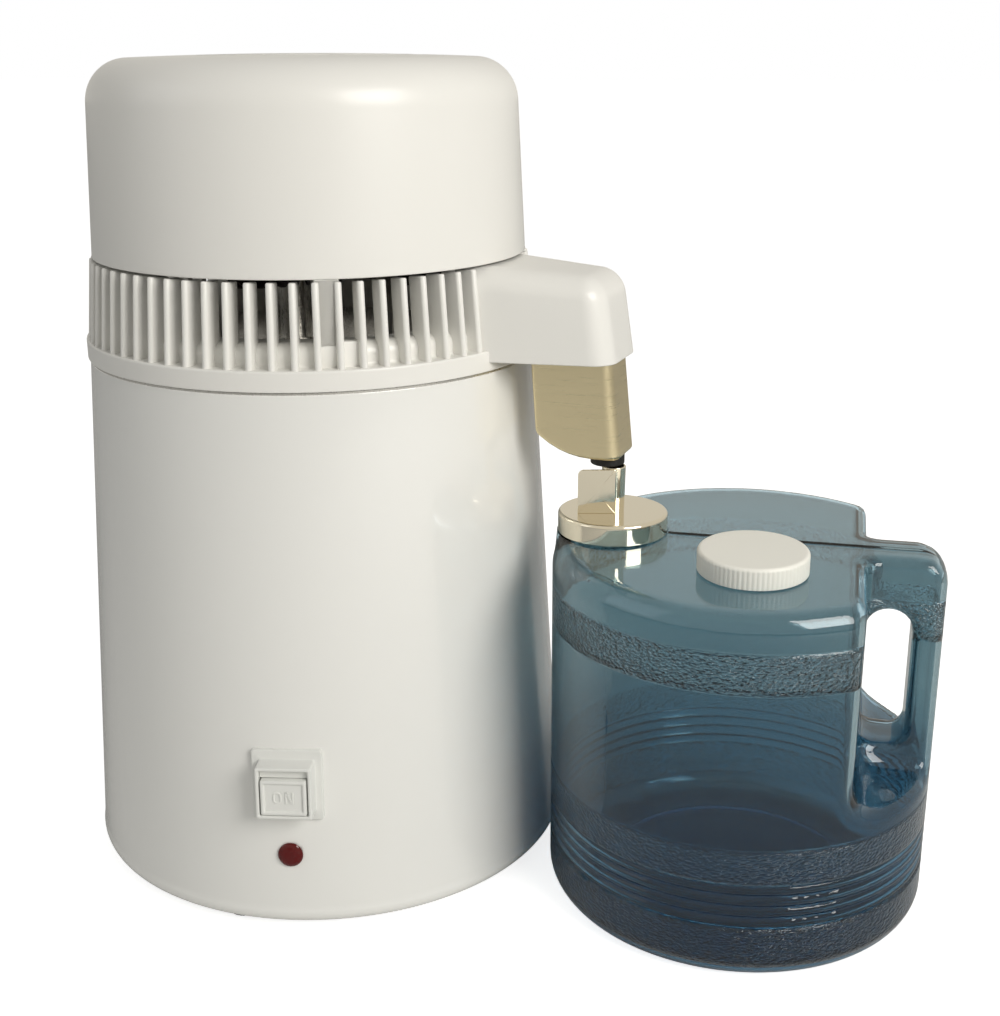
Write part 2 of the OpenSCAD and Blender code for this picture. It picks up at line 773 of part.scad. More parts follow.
module mains_inlet() {
    color(black_rubber) difference() {
        on_wall(rear_angle, inlet_z) union() {
            difference() {
                translate([0, 0, -4]) linear_extrude(6.5) rounded_rect(inlet_flange_w, inlet_flange_h, 4);
                translate([0, 0, -10]) linear_extrude(20)
                    square([inlet_body_w - 0.2, inlet_body_h - 0.2], center = true);
            }
        }
        housing_envelope(skin_gap);
        inlet_screw_holes();
    }
    color(black_rubber) on_wall(rear_angle, inlet_z) difference() {
        translate([0, 0, -inlet_depth]) linear_extrude(inlet_depth + 2.5)
            square([inlet_body_w, inlet_body_h], center = true);
        translate([0, 0, -14]) linear_extrude(20)
            polygon([[-12, -8.4], [12, -8.4], [12, 4], [8, 8], [-8, 8], [-12, 4]]);
        for (p = inlet_pin_places) translate([p[0] - 2.05, p[1] - 1.05, -inlet_depth - cut])
            cube([4.1, 2.1, 8]);
    }
}

inlet_pin_places = [[-7, -2], [7, -2], [0, 2]];

module inlet_screw_holes() {
    on_wall(rear_angle, inlet_z) for (s = [-1, 1]) translate([s * inlet_screw_gap / 2, 0, -10])
        cylinder(d = screw_d + 2 * fit_gap, h = 20);
}

module inlet_pins() {
    color(brass_metal) on_wall(rear_angle, inlet_z)
        for (p = inlet_pin_places) translate([p[0] - 2, p[1] - 1, -inlet_depth - 6]) cube([4, 2, pin_l]);
}

module inlet_screws() {
    color(steel) on_wall(rear_angle, inlet_z)
        for (s = [-1, 1]) translate([s * inlet_screw_gap / 2, 0, 2.5]) screw(screw_d, inlet_screw_l);
}

// Two-pole low socket, flange on the origin's face
module round_socket(depth) {
    difference() {
        union() {
            translate([0, 0, -1]) cylinder(d = socket_d, h = 3);
            translate([0, 0, -depth]) cylinder(d = socket_d - 4, h = depth);
        }
        translate([0, 0, 1.5 - depth]) cylinder(d = socket_d - 7, h = 10 + depth);
    }
    for (s = [-1, 1]) translate([s * 3.5, 0, 1 - depth]) cylinder(d = 2, h = depth - 1.5);
}

module fan_socket() {
    color(black_rubber) difference() {
        on_wall(rear_angle, seam_z - socket_drop) round_socket(7);
        difference() {
            housing_envelope(skin_gap);
            on_wall(rear_angle, seam_z - socket_drop) cylinder(d = socket_d - 4, h = 60, center = true);
        }
    }
}

module fan_inlet() {
    color(black_rubber) difference() {
        on_dome(rear_angle, dome_z + 20) round_socket(9);
        difference() {
            dome_envelope(skin_gap);
            on_dome(rear_angle, dome_z + 20) cylinder(d = socket_d - 4, h = 60, center = true);
        }
    }
}

// Head

module steam_plate() {
    color(bright_steel) difference() {
        rotate_extrude() union() {
            translate([0, steam_plate_z]) square([steam_plate_r, steam_plate_t]);
            translate([lip_r - steam_plate_t, steam_plate_z - 6]) square([steam_plate_t, 6.2]);
        }
        translate([-inlet_bend, 0, steam_plate_z - cut]) cylinder(r = riser_r - 1.2, h = 4);
        deck_screw_holes();
    }
}

deck_screw_angles = [for (i = [0:5]) 30 + 60 * i];
deck_screw_r = deck_inner_r + 4;

module deck_screw_holes() {
    for (a = deck_screw_angles) rotate([0, 0, a]) translate([deck_screw_r, 0, steam_plate_z - cut])
        cylinder(d = screw_d + 2 * fit_gap, h = 9 + cut);
}

module deck_screws() {
    color(steel) for (a = deck_screw_angles) rotate([0, 0, a]) translate([deck_screw_r, 0, steam_plate_z])
        mirror([0, 0, 1]) screw(screw_d, deck_screw_l);
}

module head_gasket() {
    color(cream_rubber) translate([0, 0, seam_z])
        tube(steam_plate_r - 0.4, steam_plate_r - 0.4 - gasket_w, gasket_h);
}

module steam_riser() {
    color(bright_steel) translate([-inlet_bend, 0, 0]) difference() {
        union() {
            translate([0, 0, steam_plate_top]) cylinder(r = riser_r, h = coil_top + tube_d - steam_plate_top);
            translate([0, 0, steam_plate_top]) cylinder(r = riser_r + 4, h = 1);
        }
        translate([0, 0, steam_plate_top - cut])
            cylinder(r = riser_r - 1.2, h = coil_top + tube_d - steam_plate_top - 1.2 + cut);
        translate([0, 0, coil_top]) rotate([-90, 0, 0]) cylinder(r = tube_r - 1, h = 20);
    }
}

// Middle line of the coil: in from the riser, down the turns, then out to the arm
function ease(u) = u * u * (3 - 2 * u);
function helix_angle(s) = 90 + 360 * coil_turns * (1 - s);
function helix_at(s) = [coil_r * cos(helix_angle(s)), coil_r * sin(helix_angle(s)),
    outlet_z + (coil_top - outlet_z) * (1 - s)];
inlet_path = [for (i = [0:3]) [-inlet_bend, riser_r + 0.1 + i * (coil_r - inlet_bend - riser_r) / 4,
    coil_top]];
bend_path = [for (i = [0:4]) [-inlet_bend * cos(18 * i), coil_r - inlet_bend + inlet_bend * sin(18 * i),
    coil_top]];
helix_path = [for (i = [0:coil_steps * coil_turns]) helix_at(i / (coil_steps * coil_turns))];
outlet_path = [for (i = [1:9]) [(outlet_join_x - 9) * i / 9, coil_r * (1 - ease(i / 9)), outlet_z]];
coil_path = concat(inlet_path, bend_path, helix_path, outlet_path, [[outlet_join_x, 0, outlet_z]]);

function tangent(path, i) = unit(path[min(i + 1, len(path) - 1)] - path[max(i - 1, 0)]);
function ring_points(p, t, r) = let(side = unit(cross(t, [0, 0, 1])), up = cross(side, t))
    [for (j = [0:tube_sides - 1], a = 360 * j / tube_sides) p + r * (cos(a) * side + sin(a) * up)];

module condenser_coil() {
    n = len(coil_path);
    m = tube_sides;
    color(dark_metal) polyhedron(
        points = [for (i = [0:n - 1]) each ring_points(coil_path[i], tangent(coil_path, i), tube_r)],
        faces = concat([[for (j = [m - 1:-1:0]) j]],
            [for (i = [0:n - 2], j = [0:m - 1])
                [i * m + j, i * m + (j + 1) % m, (i + 1) * m + (j + 1) % m, (i + 1) * m + j]],
            [[for (j = [0:m - 1]) (n - 1) * m + j]]));
}

cooler_count = floor(2 * PI * coil_r * coil_turns / cooler_pitch) - 2;
coil_slope = atan((coil_top - outlet_z) / (2 * PI * coil_r * coil_turns));

module condenser_fins() {
    color(dark_metal) for (i = [1:cooler_count])
        let(s = i / (cooler_count + 1))
            translate(helix_at(s)) rotate([0, 0, helix_angle(s)]) rotate([coil_slope - 90, 0, 0])
                translate([0, 0, -cooler_t / 2]) tube(cooler_d / 2, tube_r + slide_gap, cooler_t);
}

bracket_angles = [-20, 130, 240];

module coil_brackets() {
    color(steel) for (a = bracket_angles) rotate([0, 0, a])
        translate([coil_r + cooler_d / 2 + slide_gap, 0, steam_plate_top]) {
            translate([0, -4, 0]) cube([1, 8, coil_top + cooler_d / 2 - steam_plate_top]);
            translate([0, -4, 0]) cube([12, 8, 1]);
            translate([-4, -4, coil_top + cooler_d / 2 - steam_plate_top + 1]) cube([5, 8, 1]);
            translate([0, -4, coil_top + cooler_d / 2 - steam_plate_top - 0.1]) cube([1, 8, 1.5]);
        }
}

module outlet_tube() {
    color(bright_steel) {
        translate([outlet_join_x + 0.1, 0, outlet_z]) rotate([0, 90, 0])
            tube(tube_r, tube_r - 1, leg_x - elbow_r - outlet_join_x - 0.1);
        translate([leg_x - elbow_r, 0, outlet_z - elbow_r]) rotate([90, 0, 0]) rotate_extrude(angle = 90)
            translate([elbow_r, 0]) difference() {
                circle(tube_r);
                circle(tube_r - 1);
            }
        translate([leg_x, 0, cup_z + 14]) tube(tube_r, tube_r - 1, outlet_z - elbow_r - cup_z - 14);
    }
}

module tube_union() {
    color(brass_metal) translate([outlet_join_x - 1, 0, outlet_z]) rotate([0, 90, 0]) {
        translate([0, 0, -3]) tube(tube_r + 2, tube_r + fit_gap, 12);
        translate([0, 0, 9]) difference() {
            cylinder(r = tube_r + 3.5, h = 6, $fn = 6);
            translate([0, 0, -cut]) cylinder(r = tube_r + fit_gap, h = 6 + 2 * cut);
        }
    }
}

module filter_cup() {
    color(white_plastic) {
        difference() {
            union() {
                translate([cup_x, 0, cup_z]) cylinder(r = cup_r, h = cup_h);
                translate([drip_x, 0, seal_bottom]) cylinder(r = spigot_r, h = cup_z + 0.5 - seal_bottom);
            }
            translate([cup_x, 0, cup_z + 1.5]) cylinder(r = cup_r - 1.5, h = cup_h - 3);
            translate([drip_x + spigot_off, 0, seal_bottom - cut])
                cylinder(r = 2, h = cup_z - seal_bottom + 3);
            translate([leg_x, 0, cup_z + 10]) cylinder(r = tube_r + fit_gap, h = 20);
        }
    }
}

cup_r = 8.5;
cup_h = 17.5;
cup_x = drip_x - 3.5;
cup_z = cover_floor + cover_t + 1;
cup_side = 2;
spigot_r = 4.5;
spigot_off = 1.5;

module drip_seal() {
    color(black_rubber) translate([drip_x, 0, seal_bottom])
        tube(seal_d / 2, spigot_r + fit_gap, seal_h - 0.02);
}

// Side view of the cover, grown inwards by inset
function cover_outline(inset) = let(
        right_top = cover_end - inset,
        leaned = cover_end + (cover_top - cover_floor) * tan(cover_lean),
        foot = max(leaned, cup_x + cup_r + cover_t + cup_side) - inset,
        left = cover_start + inset, floor_z = cover_floor + inset,
        flat_from = drip_x - 4,
        sweep_r = (pow(flat_from - left, 2) + pow(cover_sweep, 2)) / (2 * cover_sweep))
    concat([[left - (inset > 0 ? 3.6 : 4), cover_top + (inset > 0 ? cut : 0)]],
        [for (i = [0:6]) let(x = left + (flat_from - left) * i / 6)
            [x, floor_z + sweep_r - sqrt(pow(sweep_r, 2) - pow(flat_from - x, 2))]],
        corner_arc([flat_from, floor_z], [foot, floor_z], [right_top, cover_top], 3, 4),
        [[right_top, cover_top + (inset > 0 ? cut : 0)]]);

module cover_form(inset) {
    intersection() {
        rotate([90, 0, 0]) linear_extrude(cover_w - 2 * inset, center = true) polygon(cover_outline(inset));
        translate([0, 0, cover_floor - 5]) linear_extrude(cover_top - cover_floor + 10)
            polygon(rounded([[cover_start - 10, -cover_w / 2 + inset, 0],
                [cover_end + 6.2 - inset, -cover_w / 2 + inset, 6 - inset],
                [cover_end + 6.2 - inset, cover_w / 2 - inset, 6 - inset],
                [cover_start - 10, cover_w / 2 - inset, 0]]));
    }
}

module spout_cover() {
    color(bright_steel) difference() {
        cover_form(0);
        cover_form(cover_t);
        translate([drip_x, 0, cover_floor - cut]) cylinder(r = spigot_r + fit_gap, h = 4);
        translate([cover_screw_x, 0, cover_screw_z]) rotate([90, 0, 0])
            cylinder(d = screw_d + 2 * fit_gap, h = cover_w + 2, center = true);
    }
}

module cover_screws() {
    color(steel) for (s = [0, 1]) mirror([0, s, 0])
        translate([cover_screw_x, cover_w / 2 - cover_t, cover_screw_z]) rotate([90, 0, 0])
            screw(screw_d, 4.5);
}

// The arm's outside, or its inside where inset is the wall
module arm_form(inset) {
    start = arm_start - (inset > 0 ? cut : 0);
    low = arm_z - (inset > 0 ? cut : 0);
    reach = arm_end - arm_start;
    taper = atan((arm_root_w - arm_end_w) / 2 / reach);
    fall = atan(arm_fall / reach);
    end_lean = (arm_end_top - arm_z) * tan(arm_lean);
    intersection() {
        translate([0, 0, low]) linear_extrude(arm_top - low)
            polygon(rounded([[start, -arm_root_w / 2 + inset, 0],
                [arm_end - inset, -arm_end_w / 2 + inset, arm_edge_r - inset],
                [arm_end - inset, arm_end_w / 2 - inset, arm_edge_r - inset],
                [start, arm_root_w / 2 - inset, 0]]));
        rotate([90, 0, 0]) linear_extrude(arm_root_w + 10, center = true)
            polygon(rounded([[start, low, 0], [arm_end - inset + (arm_z - low) * tan(arm_lean), low, 0],
                [arm_end - inset - end_lean, arm_end_top - inset, arm_edge_r - inset + 2],
                [start, arm_top - inset, 0]]));
        arm_edge(1, inset, taper, fall);
        arm_edge(-1, inset, taper, fall);
    }
}

// Long block whose upper outer edge is rounded and runs along one side of the arm
module arm_edge(side, inset, taper, fall) {
    mirror([0, side > 0 ? 0 : 1, 0]) translate([arm_start, arm_root_w / 2 - inset, arm_top - inset])
        rotate([0, 0, -taper]) rotate([0, fall, 0]) translate([-20, 0, 0]) rotate([90, 0, 90])
            linear_extrude(arm_end - arm_start + 40)
                polygon(rounded([[-120, -80, 0], [0, -80, 0], [0, 0, arm_edge_r - inset], [-120, 0, 0]]));
}

module arm_shell() {
    difference() {
        arm_form(0);
        arm_form(arm_t);
        translate([0, 0, seam_z]) cylinder(r = curb_r - 1, h = dome_z - seam_z);
    }
}

// Bosses inside the arm that the spout cover is screwed to
module cover_bosses() {
    boss_out = arm_root_w / 2 - (cover_screw_x - arm_start) * (arm_root_w - arm_end_w) / 2
        / (arm_end - arm_start) - arm_t / 2;
    for (s = [0, 1]) mirror([0, s, 0]) translate([cover_screw_x, cover_w / 2, cover_screw_z])
        rotate([-90, 0, 0])
        difference() {
            cylinder(d = 7, h = boss_out - cover_w / 2);
            translate([0, 0, -cut]) cylinder(d = screw_d + 2 * fit_gap, h = cut + 4.2);
        }
}

module louvre_fin() {
    translate([fin_foot_r, 0, ledge_z]) rotate([0, -fin_lean, 0]) translate([0, 0, -1])
        linear_extrude(fin_h + 0.8) {
            translate([-fin_depth, -fin_t / 2]) square([fin_depth - fin_t / 2, fin_t]);
            translate([-fin_t / 2, 0]) circle(d = fin_t);
        }
}

module louvre_ring() {
    color(white_plastic) difference() {
        union() {
            rotate_extrude() polygon(concat(
                [[ring_r - ring_t, ring_z], [ring_r, ring_z]],
                corner_arc([ring_r, ring_z], [ring_r, ledge_z], [curb_r, ledge_z], 0.8, 3),
                [[curb_r, ledge_z]],
                corner_arc([curb_r, ledge_z], [curb_r, deck_z], [deck_inner_r, deck_z], curb_edge_r, 6),
                [[deck_inner_r, deck_z], [deck_inner_r, steam_plate_top],
                [deck_inner_r + ring_t, steam_plate_top],
                    [deck_inner_r + ring_t, deck_z - ring_t]],
                corner_arc([deck_inner_r, deck_z - ring_t], [curb_r - ring_t, deck_z - ring_t],
                    [curb_r - ring_t, ledge_z - ring_t], curb_edge_r - ring_t, 6),
                [[curb_r - ring_t, ledge_z - ring_t], [ring_r - ring_t, ledge_z - ring_t]]));
            for (k = [arm_bays / 2:fin_count - arm_bays / 2 - 1])
                rotate([0, 0, (k + 0.5) * fin_pitch]) louvre_fin();
            for (a = post_angles) rotate([0, 0, a]) {
                translate([post_screw_r - 5, -5, deck_z - 1])
                    cube([fin_tip_r - 1.5 - post_screw_r + 5, 10, dome_z - deck_z + 1]);
                translate([curb_r - 1, -5, ledge_z - 1])
                    cube([fin_tip_r - 1.5 - curb_r + 1, 10, dome_z - ledge_z + 1]);
                rotate_extrude(angle = 1.5 * fin_pitch) translate([curb_r - 3, ledge_z - 1])
                    square([4.6, curb_h + 1.8]);
            }
            for (a = deck_screw_angles) rotate([0, 0, a]) translate([deck_screw_r, 0, steam_plate_top])
                cylinder(d = screw_d + 3.5, h = deck_z - steam_plate_top - 1);
            arm_shell();
            cover_bosses();
        }
        for (a = post_angles) rotate([0, 0, a]) translate([post_screw_r, 0, 0]) {
            translate([0, 0, deck_z - ring_t - cut])
                cylinder(d = screw_d + 2 * fit_gap, h = dome_z - deck_z + ring_t + 2 * cut);
            translate([0, 0, deck_z - ring_t - 3]) cylinder(d = 2 * screw_d + 1, h = 3);
        }
        deck_screw_holes();
    }
}

// Half section of the dome, grown inwards by inset
function dome_outline(inset) = let(
        rim = dome_rim_r - inset, shoulder = dome_top_r - inset, top = dome_top_z - dome_crown - inset,
        edge = corner_arc([rim, dome_z], [shoulder, top], [0, top], dome_edge_r - inset, 8),
            last = edge[8][0])
    concat([[0, dome_z - (inset > 0 ? cut : 0)], [rim, dome_z - (inset > 0 ? cut : 0)]], edge,
        [for (i = [1:6]) let(r = last * (1 - i / 6)) [r, top + dome_crown * (1 - pow(r / last, 2))]]);

module dome_envelope(grow) {
    rotate_extrude() polygon(dome_outline(-grow));
}

boss_angles = [45, 135, 225, 315];

module dome_cover() {
    color(white_plastic) difference() {
        union() {
            rotate_extrude() difference() {
                polygon(dome_outline(0));
                polygon(dome_outline(dome_t));
            }
            for (a = boss_angles) rotate([0, 0, a]) translate([fan_screw_r, 0, fan_top])
                cylinder(d = 8, h = fan_boss_h + 1);
            for (a = post_angles) rotate([0, 0, a]) {
                translate([post_screw_r, 0, dome_z]) cylinder(d = 8, h = 14);
                translate([post_screw_r, -2, dome_z])
                    cube([dome_rim_r - dome_t / 2 - post_screw_r - 1, 4, 14]);
            }
        }
        translate([0, 0, dome_top_z - dome_t - dome_crown - 4]) linear_extrude(12) grille_slots();
        for (a = boss_angles) rotate([0, 0, a]) translate([fan_screw_r, 0, fan_top - cut])
            cylinder(d = screw_d + 2 * fit_gap, h = fan_boss_h - 1 + cut);
        for (a = post_angles) rotate([0, 0, a]) translate([post_screw_r, 0, dome_z - cut])
            cylinder(d = screw_d + 2 * fit_gap, h = 12 + cut);
        on_dome(rear_angle, dome_z + 20) cylinder(d = socket_d - 4 + 2 * fit_gap, h = 20, center = true);
    }
}

// Rings of curved slots, parted by spokes
module grille_slots() {
    difference() {
        for (i = [0:grille_rings - 1]) difference() {
            circle(12 + i * grille_pitch + grille_slot);
            circle(12 + i * grille_pitch);
        }
        for (a = [0:45:135]) rotate(a) square([2 * dome_top_r, grille_spoke], center = true);
    }
}

module dome_screws() {
    color(steel) for (a = post_angles) rotate([0, 0, a]) translate([post_screw_r, 0, deck_z - ring_t])
        mirror([0, 0, 1]) screw(screw_d, dome_z - deck_z + ring_t + 10);
}

// Fan

module fan_frame() {
    color(dark_metal) difference() {
        union() {
            translate([0, 0, fan_z]) tube(fan_d / 2, impeller_d / 2 + 2, fan_h);
            translate([0, 0, fan_top - strut_t]) cylinder(d = motor_d, h = strut_t);
            for (a = boss_angles) rotate([0, 0, a]) {
                translate([motor_d / 2 - 2, -3, fan_top - strut_t])
                    cube([fan_d / 2 - motor_d / 2, 6, strut_t]);
                translate([fan_d / 2 - 3, -5, fan_top - strut_t])
                    cube([fan_screw_r - fan_d / 2 + 3, 10, strut_t]);
                translate([fan_screw_r, 0, fan_top - strut_t]) cylinder(d = 10, h = strut_t);
            }
        }
        for (a = boss_angles) rotate([0, 0, a]) translate([fan_screw_r, 0, fan_top - strut_t - cut])
            cylinder(d = screw_d + 2 * fit_gap, h = strut_t + 2 * cut);
    }
}

module fan_motor() {
    color(steel) difference() {
        translate([0, 0, fan_z + motor_lift]) cylinder(d = motor_d, h = fan_h - motor_lift - strut_t);
        translate([0, 0, fan_z + motor_lift - cut])
            cylinder(d = shaft_d + 2 * fit_gap, h = fan_h - motor_lift - strut_t);
    }
}

module fan_screws() {
    color(steel) for (a = boss_angles) rotate([0, 0, a]) translate([fan_screw_r, 0, fan_top - strut_t])
        mirror([0, 0, 1]) screw(screw_d, strut_t + fan_screw_l);
}

module fan_shaft() {
    color(steel) translate([0, 0, fan_z + 0.5]) cylinder(d = shaft_d, h = fan_h - motor_lift);
}

module fan_impeller() {
    color(dark_metal) {
        translate([0, 0, fan_z + 1]) difference() {
            cylinder(r = hub_r, h = fan_h - 6);
            translate([0, 0, 3]) cylinder(r = motor_d / 2 + 1, h = fan_h);
            translate([0, 0, -cut]) cylinder(d = shaft_d + 2 * fit_gap, h = 6);
        }
        for (i = [0:blade_count - 1]) rotate([0, 0, 360 * i / blade_count]) fan_blade();
    }
}

// A curved blade: part of a thin tube that lies along the radius
module fan_blade() {
    intersection() {
        translate([0, 0, fan_z + 2]) tube(impeller_d / 2, hub_r - 0.5, fan_h - 8);
        translate([0, blade_curve_r * 0.62, fan_z - blade_curve_r * 0.5]) rotate([0, 90, 0])
            tube(blade_curve_r, blade_curve_r - blade_t, impeller_d / 2);
        translate([0, -8, fan_z]) cube([impeller_d / 2, 26, fan_h]);
    }
}

// Jug

// Half section of the jug's round body, grown inwards by inset
function jug_outline(inset) = let(r = jug_r - inset, rib_top = rib_z + rib_count * rib_h)
    concat([[0, 3 + inset], [0.66 * jug_r, 3 + inset], [0.73 * jug_r, inset]],
        corner_arc([0, inset], [r, inset], [r, rib_z], jug_foot_r, 8),
        [for (k = [0:rib_count - 1], i = [0:5])
            [r - rib_depth * (1 - sin(30 * i)), rib_z + (k + i / 6) * rib_h]],
        [[r - rib_depth, rib_top], [r, rib_top + 0.8]],
        corner_arc([r, rib_top], [r, jug_h - inset], [0, jug_h - inset], jug_edge_r, 8),
        [[0, jug_h - inset]]);

// Side view of the jug across the handle line: level at the back, then a small step and the pouring deck
function deck_outline(inset) = let(r = jug_r + 5, deck = jug_h - inset - deck_step)
    rounded([[-jug_r + inset, -cut, 0], [-jug_r + inset, deck - jug_r * deck_slope, deck_edge_r],
        [inset, deck + inset * deck_slope, 0], [inset, jug_h - inset, 0],
        [r, jug_h - inset, 0], [r, -cut, 0]]);

// Plan of one pocket beside the handle
function pocket_plan(inset) = let(far = jug_r + 10, y = handle_w / 2 - inset)
    rounded([[pocket_x - inset, far, 0], [pocket_x - inset, y, handle_fillet + inset],
        [jug_r - inset, y, handle_r - inset], [jug_r - inset, 2, 0], [far, 2, 0], [far, far, 0]]);

// Side view of both pockets
function pocket_side(inset) = let(far = jug_r + 10)
    rounded([[pocket_x - inset, jug_h + 20, 0], [pocket_x - inset, pocket_z - inset, pocket_r + inset],
        [far, pocket_z - inset, 0], [far, jug_h + 20, 0]]);

function finger_outline(inset) = let(arch = (grip_x - pocket_x) / 2 - 0.1 + inset)
    rounded([[pocket_x - inset, finger_z - inset, 7 + inset], [grip_x + inset, finger_z - inset, 7 + inset],
        [grip_x + inset, finger_z + finger_h + inset, arch],
        [pocket_x - inset, finger_z + finger_h + inset, arch]]);

module jug_form(inset) {
    difference() {
        intersection() {
            rotate_extrude() polygon(jug_outline(inset));
            rotate([90, 0, 90]) linear_extrude(2 * jug_r + 10, center = true) polygon(deck_outline(inset));
        }
        for (s = [0, 1]) mirror([0, s, 0]) intersection() {
            translate([0, 0, pocket_z - 20]) linear_extrude(jug_h) polygon(pocket_plan(inset));
            rotate([90, 0, 0]) linear_extrude(3 * jug_r, center = true) polygon(pocket_side(inset));
        }
        rotate([90, 0, 0]) linear_extrude(handle_w + 2 * handle_fillet, center = true)
            polygon(finger_outline(inset));
        translate([-mouth_x, 0, lid_bottom - slide_gap - inset])
            cylinder(r = lid_d / 2 + slide_gap + 0.1 + inset, h = 20);
    }
}

module jug_body() {
    color(blue_clear) at_jug() difference() {
        union() {
            jug_form(0);
            translate([-mouth_x, 0, jug_h - 14])
                cylinder(r = mouth_r, h = lid_top - lid_t - 1.2 - jug_h + 14);
            translate([cap_x, cap_y, cap_z]) rotate([deck_tilt, 0, 0]) translate([0, 0, -3])
                cylinder(r = cap_neck_r, h = cap_neck_h + 3);
        }
        jug_form(jug_t);
        translate([-mouth_x, 0, jug_h - 16]) cylinder(r = mouth_r - jug_t, h = 40);
        translate([cap_x, cap_y, cap_z]) rotate([deck_tilt, 0, 0]) translate([0, 0, -8])
            cylinder(r = cap_neck_r - jug_t, h = 30);
    }
}

module fill_lid() {
    color(bright_steel) translate([lid_x, 0, 0]) difference() {
        rotate_extrude() polygon(rounded([[0, lid_top, 0], [lid_d / 2, lid_top, 1.4],
            [lid_d / 2, lid_bottom, 0], [lid_d / 2 - lid_t, lid_bottom, 0],
            [lid_d / 2 - lid_t, lid_top - lid_t, 0.4], [0, lid_top - lid_t, 0]], 5));
        translate([0, 0, lid_top - 5]) cylinder(r = collar_d / 2 - collar_t - 1, h = 10);
    }
}

collar_t = 0.8;

module lid_collar() {
    color(bright_steel) translate([lid_x, 0, lid_top]) {
        rotate_extrude() polygon([[collar_d / 2 - collar_t - 0.4, 0], [collar_d / 2 - 0.4, 0],
            [collar_d / 2, collar_h], [collar_d / 2 - collar_t, collar_h]]);
        rotate([0, 0, tab_angle]) translate([0, -collar_d / 2 + 0.4, 0]) rotate([90, 0, 0]) linear_extrude(1)
            polygon(rounded([[-tab_reach, 0, 0], [0.4, 0, 0], [0.4, collar_h - 0.5, 0.5],
                [-tab_reach, collar_h - 0.5, 2.5]], 5));
    }
}

module lid_seal() {
    color(cream_rubber) translate([lid_x, 0, lid_top - lid_t - 1.2])
        tube(mouth_r, mouth_r - jug_t - 0.4, 1.2);
}

module cap_liner() {
    color(cream_rubber) at_cap() translate([0, 0, cap_neck_h]) cylinder(r = cap_neck_r - 0.5, h = 1);
}

module screw_cap() {
    rim_r = cap_d / 2 - flute_depth - 0.12;
    color(white_plastic) at_cap() difference() {
        union() {
            linear_extrude(cap_h - cap_edge_r) polygon([for (i = [0:4 * flute_count - 1])
                (cap_d / 2 - flute_depth * [0, 0.5, 1, 0.5][i % 4])
                    * [cos(90 * i / flute_count), sin(90 * i / flute_count)]]);
            rotate_extrude() polygon(concat([[0, cap_h / 2], [rim_r, cap_h / 2]],
                corner_arc([rim_r, 0], [rim_r, cap_h], [0, cap_h], cap_edge_r, 6), [[0, cap_h]]));
        }
        translate([0, 0, -cut]) cylinder(r = cap_neck_r + slide_gap, h = cap_h - cap_t + cut);
    }
}

housing();
base_plate();
rubber_feet();
foot_screws();
foot_nuts();
boiling_chamber();
chamber_rim();
heat_spreader();
heating_element();
element_clamp();
tie_rod();
tie_nuts();
thermostats();
heat_shield();
shield_pillars();
switch_bezel();
switch_body();
push_key();
lamp_lens();
lamp_holder();
lamp_nut();
mains_inlet();
inlet_pins();
inlet_screws();
fan_socket();
steam_plate();
head_gasket();
deck_screws();
louvre_ring();
dome_cover();
dome_screws();
steam_riser();
condenser_coil();
condenser_fins();
coil_brackets();
outlet_tube();
tube_union();
filter_cup();
drip_seal();
spout_cover();
cover_screws();
fan_frame();
fan_motor();
fan_screws();
fan_inlet();
fan_shaft();
fan_impeller();
jug_body();
fill_lid();
lid_collar();
lid_seal();
cap_liner();
screw_cap();
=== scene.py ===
"""Countertop water distiller: visible surfaces, finishes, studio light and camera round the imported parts."""
import json
import math

import bpy
import numpy as np
from bpy.props import FloatProperty, FloatVectorProperty, IntProperty, PointerProperty
from mathutils import Matrix, Vector

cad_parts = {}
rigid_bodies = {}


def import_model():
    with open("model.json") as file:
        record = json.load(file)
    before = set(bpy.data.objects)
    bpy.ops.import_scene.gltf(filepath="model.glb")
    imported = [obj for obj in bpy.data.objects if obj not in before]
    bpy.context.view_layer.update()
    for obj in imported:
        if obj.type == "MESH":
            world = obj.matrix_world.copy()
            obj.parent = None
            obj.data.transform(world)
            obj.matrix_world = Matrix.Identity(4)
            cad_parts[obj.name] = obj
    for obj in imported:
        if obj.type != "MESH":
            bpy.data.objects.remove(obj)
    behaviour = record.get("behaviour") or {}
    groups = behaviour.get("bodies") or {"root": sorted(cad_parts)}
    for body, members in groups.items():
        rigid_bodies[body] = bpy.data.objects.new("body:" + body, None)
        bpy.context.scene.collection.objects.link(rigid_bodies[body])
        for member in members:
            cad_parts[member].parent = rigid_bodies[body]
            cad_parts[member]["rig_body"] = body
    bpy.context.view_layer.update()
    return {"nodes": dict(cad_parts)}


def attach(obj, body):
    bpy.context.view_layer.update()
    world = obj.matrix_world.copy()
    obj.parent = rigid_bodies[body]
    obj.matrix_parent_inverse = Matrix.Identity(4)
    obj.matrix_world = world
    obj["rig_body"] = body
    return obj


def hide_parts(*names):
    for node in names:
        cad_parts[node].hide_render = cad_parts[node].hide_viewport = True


bl_info = {
    "name": "Water Distiller Parts",
    "version": (1, 0, 0),
    "blender": (4, 5, 0),
    "location": "View3D > Sidebar > Distiller",
    "description": "Builds the visible surfaces and finishes of a countertop water distiller",
    "category": "Add Mesh",
}

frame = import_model()
NODES = frame["nodes"]
MM = 0.001
SAME = 0.0002 * MM  # points closer than this are one
STRAIGHT = 1.57  # half the angle at a corner that needs no arc


def length(name, description, millimetres):
    """A size in the sidebar, kept in metres."""
    return FloatProperty(name=name, description=description, default=millimetres * MM, min=0.0,
                         unit="LENGTH", precision=4)


def angle(name, description, degrees):
    """An angle in the sidebar, kept in radians."""
    return FloatProperty(name=name, description=description, default=math.radians(degrees),
                         subtype="ANGLE", unit="ROTATION")


